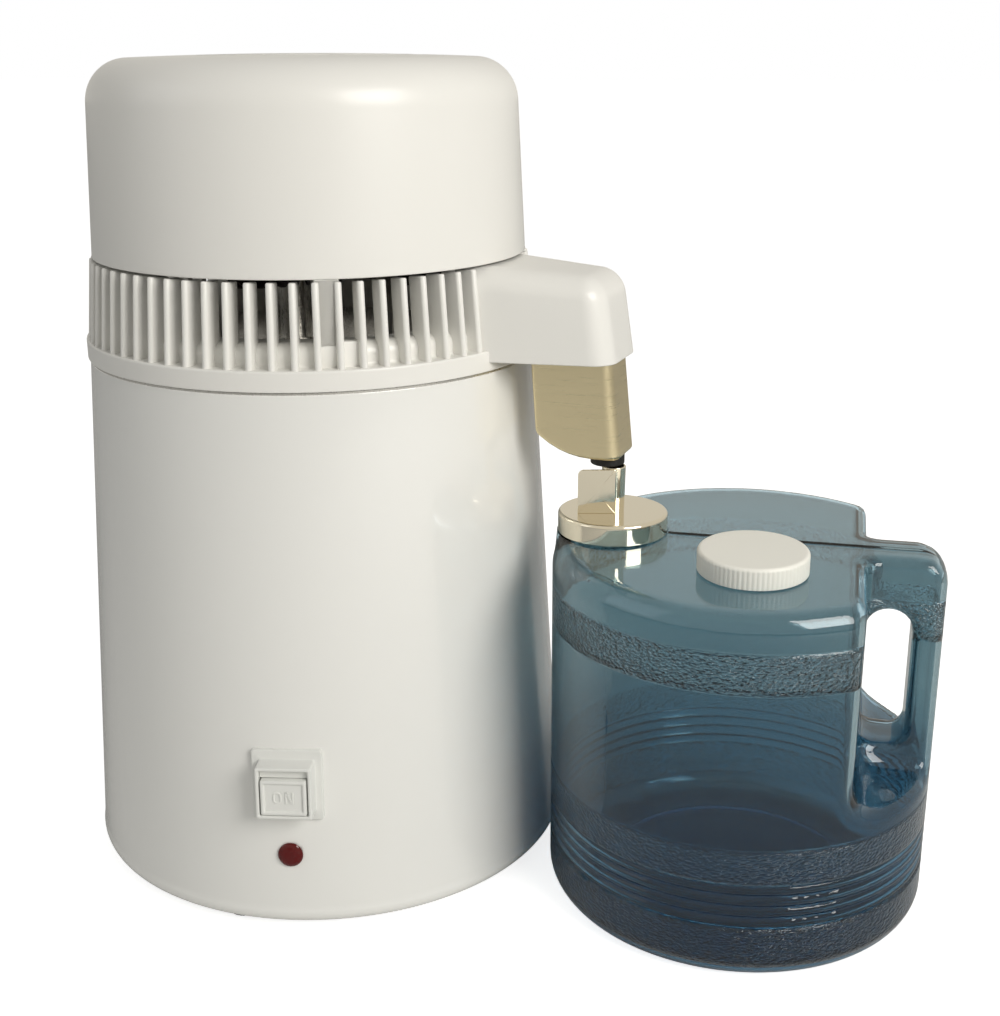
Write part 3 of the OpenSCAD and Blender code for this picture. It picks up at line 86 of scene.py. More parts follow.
def count(name, description, number, least):
    """A whole number in the sidebar."""
    return IntProperty(name=name, description=description, default=number, min=least)


def linear(code):
    """Turns an sRGB hex colour into the linear RGBA that the shaders take."""
    channels = [int(code.lstrip("#")[i:i + 2], 16) / 255 for i in (0, 2, 4)]
    low = [c / 12.92 if c <= 0.04045 else ((c + 0.055) / 1.055) ** 2.4 for c in channels]
    return (*low, 1.0)


def colour(name, description, code):
    """A colour in the sidebar, kept as the linear RGBA of its sRGB hex code."""
    return FloatVectorProperty(name=name, description=description, default=linear(code), size=4,
                               min=0.0, max=1.0, subtype="COLOR")


class HousingSizes(bpy.types.PropertyGroup):
    base_r: length("Base radius", "Outside radius at the foot of the wall", 115)
    top_r: length("Top radius", "Outside radius at the top of the wall", 101.5)
    foot_z: length("Foot height", "Height of the rolled hem above the table", 5)
    top_z: length("Top height", "Height of the housing's upper edge", 240.2)
    sheet: length("Sheet", "Thickness of the steel sheet", 1.2)
    hem_r: length("Hem radius", "Radius of the rolled hem", 5.5)
    lip_r: length("Lip radius", "Inner radius of the lip over the base plate", 89.8)
    panel_turn: angle("Control angle", "Direction of the switch and lamp", -71.6)
    rear_turn: angle("Rear angle", "Direction of the rear sockets", 90)
    switch_z: length("Switch height", "Height of the switch's middle", 72.5)
    lamp_z: length("Lamp height", "Height of the pilot lamp", 39.3)
    inlet_z: length("Inlet height", "Height of the mains inlet", 42)
    socket_z: length("Socket height", "Height of the fan lead's socket", 215)
    switch_cut: length("Switch hole", "Half the width of the switch's hole", 11.2)
    switch_cut_h: length("Switch hole height", "Half the height of the switch's hole", 10.9)
    lamp_cut: length("Lamp hole", "Radius of the lamp's hole", 4.2)
    inlet_cut: length("Inlet hole", "Half the width of the inlet's hole", 14)
    inlet_cut_h: length("Inlet hole height", "Half the height of the inlet's hole", 10.1)
    socket_cut: length("Socket hole", "Radius of the socket's hole", 9.1)


class SwitchSizes(bpy.types.PropertyGroup):
    flange_w: length("Flange width", "Width of the bezel", 30.5)
    flange_h: length("Flange height", "Height of the bezel", 32)
    flange_t: length("Flange thickness", "Thickness of the bezel on the wall", 1.4)
    shroud_w: length("Shroud width", "Width of the raised shroud", 24)
    shroud_h: length("Shroud height", "Height of the raised shroud", 23.4)
    shroud_t: length("Shroud wall", "Wall of the shroud", 1.6)
    shroud_out: length("Shroud reach", "How far the shroud stands out", 10.5)
    key_h: length("Key height", "Height of the push key", 15.8)
    key_t: length("Key thickness", "Thickness of the push key", 5)
    lens_d: length("Lens diameter", "Diameter of the pilot lamp's lens", 11)
    edge: length("Edge", "Step of the rows that round the bezel's edges", 0.35)
    key_gap: length("Key gap", "Both gaps beside the key together", 1.2)
    dish: length("Dish", "Depth of the dish in the key", 0.8)
    letter_h: length("Letter height", "Height of the letters on the key", 5.2)
    letter_w: length("Letter width", "Width of a letter on the key", 3.6)
    pen: length("Pen", "Width of a letter's stroke", 0.75)
    rise: length("Letter rise", "How far the letters stand out", 0.35)


class HeadSizes(bpy.types.PropertyGroup):
    ring_r: length("Ring radius", "Outside radius of the ring", 102.5)
    ring_z: length("Ring foot", "Height of the ring's lower edge", 241.3)
    ledge_z: length("Ledge height", "Height of the ledge that the fins stand on", 250)
    curb_r: length("Curb radius", "Outside radius of the curb behind the fins", 95)
    curb_edge: length("Curb edge", "Radius of the curb's upper edge", 5)
    deck_z: length("Deck height", "Height of the deck inside the fins", 259.5)
    deck_r: length("Deck opening", "Radius of the deck's opening", 83)
    plate_z: length("Plate height", "Top of the plate under the deck", 244.3)
    ring_t: length("Ring wall", "Wall of the ring", 2)
    post_w: length("Post width", "Width of a screw post", 10)
    post_places: count("Post places", "Fin places from the arm's middle to a post", 11, 2)
    fin_count: count("Fin places", "Number of fin places round the ring", 68, 24)
    arm_places: count("Arm places", "Fin places that the arm takes", 6, 2)
    fin_t: length("Fin thickness", "Thickness of a fin", 2.9)
    fin_depth: length("Fin depth", "Depth of a fin", 10)
    fin_foot: length("Fin foot", "Radius of the fins' noses at the ledge", 101.6)
    fin_tip: length("Fin tip", "Radius of the fins' noses at the cover", 98.4)
    fin_h: length("Fin height", "Height of the fins", 34.8)
    rim_r: length("Cover rim", "Outside radius of the cover's rim", 97.2)
    shoulder_r: length("Cover shoulder", "Outside radius below the cover's rounded edge", 93.3)
    rim_z: length("Rim height", "Height of the cover's rim", 285.3)
    crown_z: length("Crown height", "Height of the cover's crown", 370.3)
    crown: length("Crown", "Rise of the cover's top in the middle", 1.5)
    edge_r: length("Cover edge", "Radius of the cover's upper edge", 19)
    cover_t: length("Cover wall", "Wall of the cover", 2.4)
    slot_w: length("Slot width", "Width of a grille slot", 5)
    slot_pitch: length("Slot pitch", "Distance between grille slots", 9)
    slot_r: length("First slot", "Inner radius of the grille's first slot", 12)
    slot_rings: count("Slot rings", "Number of slot rings", 5, 1)
    spoke_w: length("Spoke width", "Width of a grille spoke", 5)
    spokes: count("Spokes", "Number of grille spokes", 8, 3)
    boss_r: length("Boss place", "Distance of the fan's bosses from the axis", 66)


class SpoutSizes(bpy.types.PropertyGroup):
    root_x: length("Root", "Where the arm leaves the ring", 86)
    end_x: length("End", "Where the arm ends", 149.6)
    floor_z: length("Lower edge", "Height of the arm's lower edge", 245)
    top_z: length("Top at the root", "Height of the arm's top at the ring", 285)
    fall: length("Fall", "How much the arm's top drops to its end", 3.5)
    root_w: length("Root width", "Width of the arm at the ring", 62)
    end_w: length("End width", "Width of the arm at its end", 41)
    edge_r: length("Edge radius", "Radius of the arm's edges", 9)
    lean: angle("End lean", "Lean of the arm's end face", 9)
    wall: length("Arm wall", "Wall of the arm", 2.2)
    cover_w: length("Cover width", "Width of the sheet cover", 27)
    cover_back: length("Cover back", "Where the cover starts", 113.3)
    cover_end: length("Cover end", "Where the cover's end face meets the arm", 145.3)
    cover_z: length("Cover floor", "Height of the cover's lowest face", 202.2)
    cover_top: length("Cover top", "Height of the cover's hidden upper edge", 257)
    drip_x: length("Drip point", "Where the water drips", 142.6)
    cover_rise: length("Cover rise", "How far the cover's floor sweeps up to its back", 10)
    cover_lean: angle("Cover lean", "Lean of the cover's end face", 6)
    bend: length("Bend", "Bend between the cover's floor and its sides", 2)
    sheet: length("Sheet", "Thickness of the stainless sheet", 0.8)
    seal_r: length("Seal radius", "Outside radius of the drip seal", 7.5)
    seal_bore: length("Seal bore", "Radius of the drip seal's bore", 4.6)
    seal_z: length("Seal foot", "Height of the drip seal's lower face", 197.85)


class JugSizes(bpy.types.PropertyGroup):
    lid_x: length("Lid place", "Where the fill lid's middle lies", 145.6)
    turn: angle("Jug turn", "Turn of the jug about the lid's middle", 8)
    mouth_x: length("Mouth offset", "From the fill mouth to the jug's middle", 59.4)
    lid_r: length("Lid radius", "Outside radius of the lid", 24.4)
    lid_top: length("Lid top", "Height of the lid's top", 176.6)
    lid_low: length("Lid edge", "Height of the lid's lower edge", 167.2)
    lid_t: length("Lid sheet", "Sheet of the lid", 1)
    collar_r: length("Collar radius", "Outside radius of the collar at its top", 5.3)
    collar_h: length("Collar height", "Height of the collar", 20.4)
    tab_reach: length("Tab reach", "Reach of the thumb tab", 16)
    tab_turn: angle("Tab turn", "Direction of the thumb tab", 21)
    cap_x: length("Cap place", "Place of the cap along the handle line", 4.8)
    cap_side: length("Cap offset", "Distance of the cap from the handle line", 37)
    cap_z: length("Cap height", "Height of the cap's lower edge", 166.51)
    cap_tilt: angle("Cap tilt", "Tilt of the pouring deck", 2)
    cap_r: length("Cap radius", "Outside radius of the cap", 23)
    cap_h: length("Cap height", "Height of the cap", 9.3)
    cap_bore: length("Cap bore", "Radius of the cap's bore", 19.9)
    cap_edge: length("Cap edge", "Radius of the cap's upper edge", 1.6)
    flute: length("Flute depth", "Depth of a grip flute", 0.18)
    flutes: count("Flutes", "Number of grip flutes", 72, 24)
    jug_r: length("Jug radius", "Outside radius of the jug", 85)
    jug_h: length("Jug height", "Height of the jug's top", 168)
    wall: length("Jug wall", "Thickness of the jug's skin", 1.8)
    edge: length("Jug edge", "Radius of the jug's upper and lower edges", 13)
    step: length("Deck step", "Step at the handle line", 0.6)
    rib_z: length("Rib place", "Height of the lowest rib's foot", 26.5)
    rib_pitch: length("Rib pitch", "Height of one rib", 5.1)
    rib_depth: length("Rib depth", "Depth of the valleys between the ribs", 1.2)
    ribs: count("Ribs", "Number of ribs", 4, 1)
    hollow: length("Hollow", "Depth of the hollow under the jug", 3)
    hollow_r: length("Hollow radius", "Radius of the hollow at the table", 63.75)
    hollow_run: length("Hollow slope", "Run of the hollow's sloping side", 7.65)
    crease: length("Crease", "Width of the crease at the handle line", 0.8)
    pocket_x: length("Pocket place", "Place of the pockets' wall along the handle line", 51)
    pocket_z: length("Pocket floor", "Height of the pockets' floor", 71)
    handle: length("Handle width", "Width of the handle", 26)
    grip_x: length("Grip place", "Place of the grip's inner face", 72)
    finger_low: length("Finger hole foot", "Height of the finger hole's lower end", 82)
    finger_top: length("Finger hole top", "Height of the finger hole's upper end", 144)
    finger_r: length("Finger hole corner", "Corner radius at the finger hole's upper end", 9.9)
    finger_low_r: length("Finger hole foot corner", "Corner radius at the finger hole's lower end", 7)
    mouth_r: length("Mouth radius", "Outside radius of the fill neck", 19.9)
    neck_r: length("Pouring neck radius", "Outside radius of the pouring neck", 19.6)
    neck_h: length("Pouring neck height", "Height of the pouring neck above the deck", 7)


class Finishes(bpy.types.PropertyGroup):
    enamel: colour("Enamel", "Baked white enamel of the housing", "#EDEDE9")
    white: colour("White plastic", "Moulded white plastic of the head", "#EBEAE5")
    cap: colour("Cap plastic", "Moulded white plastic of the screw cap", "#F4F3EA")
    blue: colour("Jug blue", "Tint of the clear jug near its top", "#A8C6D0")
    # Painted shade: towards its foot the jug's tint turns to this darker blue, which darkens its lower part
    foot_shade_blue: colour("Jug blue with painted shade", "Tint of the clear jug near its foot, darkened there as painted shade", "#4A84A4")
    red: colour("Lamp red", "Tint of the lamp's lens", "#6A0303")
    # Steel and Sheet are partly painted reflection: each has the steel's own pale grey, with a warm tan or
    # yellow cast that stands in for warm surroundings reflected in the metal
    steel: colour("Steel", "Colour of the polished lid", "#E4DCC8")
    sheet: colour("Sheet", "Colour of the ground spout cover", "#E6D8B2")


GROUPS = {"housing": HousingSizes, "switch": SwitchSizes, "head": HeadSizes, "spout": SpoutSizes,
          "jug": JugSizes, "finish": Finishes}


def sizes(group):
    """The sidebar's values of one group."""
    return getattr(bpy.context.scene, "distiller_" + group)


def wall_radius(z):
    """Outside radius of the housing's tapering wall at a height."""
    s = sizes("housing")
    return s.base_r - (z - s.foot_z) * (s.base_r - s.top_r) / (s.top_z - s.foot_z)


def post_radius():
    """Where the screw posts' middles lie: half a post's width inside the curb's inner face."""
    s = sizes("head")
    return s.curb_r - s.ring_t - s.post_w / 2


def post_turns():
    """Directions of the three screw posts: one on each side of the arm and one behind."""
    s = sizes("head")
    side = s.post_places * math.tau / s.fin_count
    return np.array([side, -side, math.pi])


def jug_place(x=0.0, y=0.0, z=0.0):
    """Matrix from the jug's own axes, at a place on it, to where it stands under the spout."""
    s = sizes("jug")
    return shift(s.lid_x) @ Matrix.Rotation(s.turn, 4, "Z") @ shift(s.mouth_x + x, y, z)


# Surfaces

def grid(points, wrap_u=False, wrap_v=False, keep=None):
    """Faces between the neighbours of a two-parameter array of points; keep leaves some of them out."""
    count_u, count_v = points.shape[:2]
    index = np.arange(count_u * count_v).reshape(count_u, count_v)
    if wrap_u:
        index = np.concatenate([index, index[:1]], 0)
    if wrap_v:
        index = np.concatenate([index, index[:, :1]], 1)
    faces = np.stack([index[:-1, :-1], index[1:, :-1], index[1:, 1:], index[:-1, 1:]], -1)
    if keep is not None:
        faces = faces[keep]
    return points.reshape(-1, 3), faces.reshape(-1, 4)


def join(*skins):
    """Several surfaces as one."""
    starts = np.cumsum([0] + [len(points) for points, _ in skins[:-1]])
    return (np.concatenate([points for points, _ in skins]),
            np.concatenate([faces + start for (_, faces), start in zip(skins, starts)]))


def flipped(skin):
    """The surface with its faces turned to the other side."""
    return skin[0], skin[1][:, ::-1]


def moved(skin, matrix):
    """The surface carried by a 4 x 4 matrix."""
    matrix = np.array(matrix)
    points, faces = skin
    return points @ matrix[:3, :3].T + matrix[:3, 3], faces


def turned(skin, angles):
    """Copies of the surface, turned about the vertical axis by each angle."""
    points, faces = skin
    c, s = np.cos(angles)[:, None], np.sin(angles)[:, None]
    x, y, z = points.T
    copies = np.stack([c * x - s * y, s * x + c * y, np.broadcast_to(z, (len(angles), len(z)))], -1)
    starts = np.arange(len(angles))[:, None, None] * len(points)
    return copies.reshape(-1, 3), (faces + starts).reshape(-1, 4)


def soften(path, steps=6, closed=True):
    """Line through [x, y, radius] corners, where each corner is an arc that touches both of its sides."""
    parts = []
    for i, (x, y, radius) in enumerate(path):
        corner = np.array((x, y))
        if radius <= 0 or (not closed and i in (0, len(path) - 1)):
            parts.append(corner[None])
            continue
        back = np.array(path[i - 1][:2]) - corner
        ahead = np.array(path[(i + 1) % len(path)][:2]) - corner
        back, ahead = back / np.linalg.norm(back), ahead / np.linalg.norm(ahead)
        half = math.acos(np.clip(back @ ahead, -1, 1)) / 2
        if half > STRAIGHT:
            parts.append(corner[None])
            continue
        centre = corner + (back + ahead) / np.linalg.norm(back + ahead) * radius / math.sin(half)
        first = corner + back * radius / math.tan(half) - centre
        last = corner + ahead * radius / math.tan(half) - centre
        start = math.atan2(first[1], first[0])
        turn = (math.atan2(last[1], last[0]) - start + math.pi) % math.tau - math.pi
        t = start + turn * np.linspace(0, 1, steps + 1)
        parts.append(centre + radius * np.stack([np.cos(t), np.sin(t)], 1))
    return np.concatenate(parts)


def support(line, near=0.4 * MM, step=6 * MM, closed=False):
    """The line with points added close to the ends of its long runs, so that the shading stays flat there."""
    if closed:
        line = np.concatenate([line, line[:1]])
    parts = []
    for a, b in zip(line[:-1], line[1:]):
        run = np.linalg.norm(b - a)
        if run > 4 * near:
            t = np.linspace(near, run - near, max(2, int(run / step) + 1)) / run
            t = np.concatenate([[0], t])
        else:
            t = np.array([0.0])
        parts.append(a + (b - a) * t[:, None])
    if not closed:
        parts.append(line[-1:])
    return np.concatenate(parts)


def around(radius, angle, height):
    """Points about the vertical axis: x = r cos a, y = r sin a."""
    return np.stack(np.broadcast_arrays(radius * np.cos(angle), radius * np.sin(angle), height), -1)


def lathe(profile, steps=256, closed=True, angles=None, keep=None):
    """The profile's (radius, height) points turned about the vertical axis."""
    if angles is None:
        angles = np.linspace(0, math.tau, steps, endpoint=False)
    r, z = np.asarray(profile).T
    return grid(around(r, angles[:, None], z), wrap_u=True, wrap_v=closed, keep=keep)


def stack(rows):
    """Closed outlines one above another as one skin; both ends shrink to the middle of their outline."""
    ends = [np.broadcast_to(row.mean(0), row.shape) for row in (rows[0], rows[-1])]
    return rings([ends[0], *rows, ends[1]])


def raised(line, z):
    """A plan line at a height, which may differ from point to point."""
    return np.column_stack([line, np.broadcast_to(z, len(line))])


def slab(outline, inset_outline, height, edge):
    """A flat plate whose outline is drawn in by edge at both faces, so that its rims are chamfered."""
    levels = [(inset_outline, 0), (outline, edge), (outline, height - edge), (inset_outline, height)]
    return stack([raised(line, z) for line, z in levels])


def shift(x=0.0, y=0.0, z=0.0):
    """Matrix that carries a surface along."""
    return Matrix.Translation((x, y, z))


def blend(a, b, reach):
    """The larger of two distances, with the corner between them rounded over the reach."""
    share = np.clip(1 - np.abs(a - b) / reach, 0, None)
    return np.maximum(a, b) + reach * share ** 2 / 4


def nets(values, place):
    """Surface where a distance field on a grid of places changes sign: one point in each cell that it
    crosses, at the mean of the crossings of the cell's edges, and one quad across each crossed edge."""
    inside = values < 0
    cells = tuple(np.array(values.shape) - 1)
    total, count = np.zeros((*cells, 3)), np.zeros(cells)
    crossed = []
    for axis in range(3):
        u, v = (k for k in range(3) if k != axis)
        low = tuple(slice(None, -1) if k == axis else slice(1, -1) for k in range(3))
        high = tuple(slice(1, None) if k == axis else slice(1, -1) for k in range(3))
        hit = inside[low] != inside[high]
        t = np.where(hit, values[low] / np.where(hit, values[low] - values[high], 1), 0)[..., None]
        point = (place[low] * (1 - t) + place[high] * t) * hit[..., None]
        for step_u in (0, 1):
            for step_v in (0, 1):
                cell = [slice(None)] * 3
                cell[u] = slice(step_u, step_u + hit.shape[u])
                cell[v] = slice(step_v, step_v + hit.shape[v])
                total[tuple(cell)] += point
                count[tuple(cell)] += hit
        crossed.append((axis, u, v, hit, inside[low]))
    used = count > 0
    index = np.cumsum(used).reshape(cells) - 1
    faces = []
    for axis, u, v, hit, within in crossed:
        at = np.stack(np.nonzero(hit), -1)
        corners = np.repeat(at[:, None], 4, 1)
        corners[:, :, u] += (0, 1, 1, 0)
        corners[:, :, v] += (0, 0, 1, 1)
        quads = index[tuple(np.moveaxis(corners, -1, 0))]
        turn = within[hit] == (axis == 1)
        faces.append(np.where(turn[:, None], quads[:, ::-1], quads))
    return total[used] / count[used][:, None], np.concatenate(faces)


def settle(skin, field, turns=4):
    """Moves the points along the field's slope until they lie where it is zero."""
    points, faces = skin
    small, furthest, flattest = 0.1 * MM, 1 * MM, 0.1
    for _ in range(turns):
        slope = [(field(points + step) - field(points - step)) / (2 * small) for step in np.eye(3) * small]
        slope = np.stack(slope, -1)
        move = (field(points) / np.maximum((slope ** 2).sum(-1), flattest))[:, None] * slope
        points = points - np.clip(move, -furthest, furthest)
    return points, faces


def opened(skin, centre, radius, low):
    """Takes the faces near a vertical axis and above a height off a skin. Gives the skin, the points
    round the hole in the order of their angles, and those angles."""
    points, faces = skin
    middle = points[faces].mean(1)
    off = (np.hypot(*(middle[:, :2] - centre[:2]).T) < radius) & (middle[:, 2] > low)
    rim = np.intersect1d(faces[off], faces[~off])
    angles = np.arctan2(*(points[rim, 1::-1] - centre[1::-1]).T)
    order = np.argsort(angles)
    return (points, faces[~off]), rim[order], angles[order]


def rings(rows, closed=False):
    """Faces between rings of points that lie one after another; closed joins the last to the first."""
    return grid(np.array(rows).transpose(1, 0, 2), wrap_u=True, wrap_v=closed)


def strip(first_angles, second_angles, first, second):
    """Triangles between two rings whose points lie at different angles."""
    order = np.argsort(np.concatenate([first_angles, second_angles]), kind="stable")
    on_first = order < len(first)
    i, j = np.cumsum(on_first) - 1, np.cumsum(~on_first) - 1
    a, b = i % len(first), j % len(second) + len(first)
    last = np.where(on_first, (i - 1) % len(first), (j - 1) % len(second) + len(first))
    faces = np.where(on_first[:, None], np.stack([last, a, b, b], -1), np.stack([a, b, last, last], -1))
    return np.concatenate([first, second]), faces


def frame_turn(angle, z, radius, lean):
    """Matrix that puts X to the right, Y up the wall and Z outwards at a place on a leaning round wall."""
    out = Vector((math.cos(angle) * math.cos(lean), math.sin(angle) * math.cos(lean), math.sin(lean)))
    right = Vector((-math.sin(angle), math.cos(angle), 0))
    up = out.cross(right)
    turn = Matrix((right, up, out)).transposed().to_4x4()
    return Matrix.Translation((math.cos(angle) * radius, math.sin(angle) * radius, z)) @ turn


def make_piece(name, node, skin, material, sharp, wall=None, bevel=None):
    """Makes the mesh object: equal points are joined, faces that shrank to a line are left out, and a
    closed surface whose volume comes out negative is turned round. It rides where its node does."""
    points, faces = skin
    _, first, back = np.unique(np.round(points / SAME).astype(np.int64), axis=0,
                               return_index=True, return_inverse=True)
    points, faces = points[first], back.reshape(-1)[faces]
    same = faces == np.roll(faces, -1, 1)
    repeats = same.sum(1)
    quads, folded = faces[repeats == 0], repeats == 1
    triangles = faces[folded][~same[folded]].reshape(-1, 3)
    if wall is None:
        fans = np.concatenate([quads[:, [0, 1, 2]], quads[:, [0, 2, 3]], triangles])
        a, b, c = points[fans].transpose(1, 0, 2)
        if np.einsum("ij,ij->", a, np.cross(b, c)) < 0:
            quads, triangles = quads[:, ::-1], triangles[:, ::-1]
    mesh = bpy.data.meshes.new(name)
    mesh.from_pydata(points.tolist(), [], quads.tolist() + triangles.tolist())
    mesh.validate()
    mesh.shade_smooth()
    mesh.set_sharp_from_angle(angle=math.radians(sharp))
    mesh.materials.append(material)
    piece = bpy.data.objects.new(name, mesh)
    bpy.context.scene.collection.objects.link(piece)
    if wall:
        thick = piece.modifiers.new("wall", "SOLIDIFY")
        thick.thickness, thick.offset, thick.use_even_offset = wall, -1, True
    if bevel:
        rim = piece.modifiers.new("rims", "BEVEL")
        rim.width, rim.segments, rim.limit_method, rim.angle_limit = bevel, 2, "ANGLE", math.radians(50)
    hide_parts(node)
    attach(piece, NODES[node]["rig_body"])


# Finishes

def add_node(tree, kind, inputs=(), **settings):
    """Adds one shader node, sets its properties, and fills or links its inputs."""
    node = tree.nodes.new(kind)
    for key, value in settings.items():
        setattr(node, key, value)
    for key, value in dict(inputs).items():
        if isinstance(value, bpy.types.NodeSocket):
            tree.links.new(value, node.inputs[key])
        else:
            node.inputs[key].default_value = value
    return node


def cleared(holder):
    """The empty node tree of a material or a world."""
    holder.use_nodes = True
    holder.node_tree.nodes.clear()
    return holder.node_tree


def new_material(name, shade, rough, metallic=0.0, **sockets):
    """A node material: a Principled shader with constant values on its own sockets, and its output."""
    mat = bpy.data.materials.new(name)
    tree = cleared(mat)
    shader = add_node(tree, "ShaderNodeBsdfPrincipled")
    add_node(tree, "ShaderNodeOutputMaterial", {"Surface": shader.outputs["BSDF"]})
    shader.inputs["Base Color"].default_value = linear(shade) if isinstance(shade, str) else tuple(shade)
    shader.inputs["Roughness"].default_value = rough
    shader.inputs["Metallic"].default_value = metallic
    for key, value in sockets.items():
        shader.inputs[key.replace("_", " ").title().replace("Ior", "IOR")].default_value = value
    return mat, tree, shader


def grain(tree, shader, scale, height, detail=2.0, stretch=(1, 1, 1), rough=None):
    """Fine relief from noise in the piece's own space. scale is features per metre, height is in metres,
    and rough, where given, is the span that the same noise spreads the roughness over."""
    place = add_node(tree, "ShaderNodeTexCoord").outputs["Object"]
    spread = add_node(tree, "ShaderNodeMapping", {"Vector": place, "Scale": stretch}).outputs["Vector"]
    noise = add_node(tree, "ShaderNodeTexNoise", {"Vector": spread, "Scale": scale, "Detail": detail})
    noise = noise.outputs["Fac"]
    bump = add_node(tree, "ShaderNodeBump", {"Height": noise, "Distance": height})
    tree.links.new(bump.outputs["Normal"], shader.inputs["Normal"])
    if rough:
        span = add_node(tree, "ShaderNodeMapRange", {"Value": noise, "From Min": 0.3, "From Max": 0.7,
                                                     "To Min": rough[0], "To Max": rough[1]})
        tree.links.new(span.outputs["Result"], shader.inputs["Roughness"])


def grained(name, shade, roughness, metallic=0.0, *, scale, height, detail=2.0, stretch=(1, 1, 1), rough=None,
            **sockets):
    """A material of one colour with its grain."""
    mat, tree, shader = new_material(name, shade, roughness, metallic, **sockets)
    grain(tree, shader, scale, height, detail, stretch, rough)
    return mat


def baked_enamel():
    """Baked white enamel on steel sheet: hard and glossy, with the orange peel of a sprayed coat, its waves
    about 4 mm apart."""
    return grained("baked enamel, sprayed", sizes("finish").enamel, 0.22, scale=260, height=0.000006,
                   detail=1.0, rough=(0.2, 0.25), coat_weight=1.0, coat_roughness=0.06)


def moulded_white():
    """White ABS from a polished mould: an even, soft gloss, with slow waves about 12 mm apart."""
    return grained("ABS, moulded gloss", sizes("finish").white, 0.3, scale=80, height=0.000004, detail=0.0)


def moulded_cap():
    """White polypropylene cap: waxy, a little softer in gloss than the head."""
    return grained("polypropylene, moulded", sizes("finish").cap, 0.38, scale=700, height=0.000006,
                   rough=(0.36, 0.44))


def switch_white():
    """White nylon of the switch: finer and cooler than the head, with a fine matt texture."""
    return grained("nylon, moulded", "#E4E5E1", 0.36, scale=1800, height=0.000012)


def brushed_sheet():
    """Stainless sheet, ground satin round the bend, so that highlights draw out across the lines, which are
    about 0.3 mm apart and 30 mm long."""
    # Partly painted reflection: the sheet colour's warm yellow cast stands in for warm surroundings reflected
    # in the steel
    return grained("stainless steel, satin ground", sizes("finish").sheet, 0.3, 1.0, scale=1600,
                   height=0.000008, detail=3.0, stretch=(0.03, 0.03, 1.6), rough=(0.26, 0.4), anisotropic=0.5)


def polished_steel():
    """Stainless pressing, mirror polished: only faint long waves from the press."""
    # Partly painted reflection: the steel colour's warm tan cast stands in for warm surroundings reflected in
    # the polish
    return grained("stainless steel, polished", sizes("finish").steel, 0.08, 1.0, scale=120, height=0.00002,
                   detail=1.0, rough=(0.05, 0.12))


def spun_steel():
    """Stainless of the boiler and steam plate, spun: fine rings and a duller shine."""
    return grained("stainless steel, spun", "#C8C6C0", 0.28, 1.0, scale=900, height=0.00001,
                   stretch=(1, 1, 0.2), rough=(0.22, 0.36))


def zinc_steel():
    """Zinc-plated screws, nuts and brackets: grey with a dull shine."""
    return grained("steel, zinc plated", "#B4B4B0", 0.36, 1.0, scale=1500, height=0.00001, rough=(0.3, 0.44))


def cast_aluminium():
    """Cast and turned aluminium of the heat spreader and shield: pale, with a sandy skin."""
    return grained("aluminium, cast", "#C4C6C8", 0.42, 1.0, scale=1200, height=0.00003, detail=3.0)


def black_coil():
    """Condenser tube and fins under dark brown heat-proof lacquer, dipped: satin, a little uneven."""
    return grained("steel, lacquered dark", "#1D1310", 0.42, scale=500, height=0.00003, rough=(0.34, 0.52))


def black_rubber():
    """Moulded silicone rubber: deep black and dull."""
    return grained("silicone rubber, moulded", "#0D0D0C", 0.62, scale=1600, height=0.00002)


def cream_rubber():
    """Pale silicone of the seals: soft, with a little light in it."""
    return grained("silicone rubber, pale", "#DDD8CC", 0.5, scale=1400, height=0.00002,
                   subsurface_weight=0.1, subsurface_scale=0.002)


def black_nylon():
    """Glass-filled black nylon of the sockets and the fan: fine sparked mould texture."""
    return grained("nylon, black, sparked mould", "#141414", 0.5, scale=2200, height=0.00002)


def brass():
    """Machined brass of the pins and the union."""
    return grained("brass, machined", "#C9A552", 0.25, 1.0, scale=1500, height=0.00001, rough=(0.2, 0.32))


def lamp_glass():
    """Clear red polycarbonate of the pilot lamp, moulded with facets."""
    return grained("polycarbonate, clear red", sizes("finish").red, 0.06, scale=300, height=0.00002,
                   detail=1.0, transmission_weight=0.35, ior=1.58, specular_ior_level=0.2)


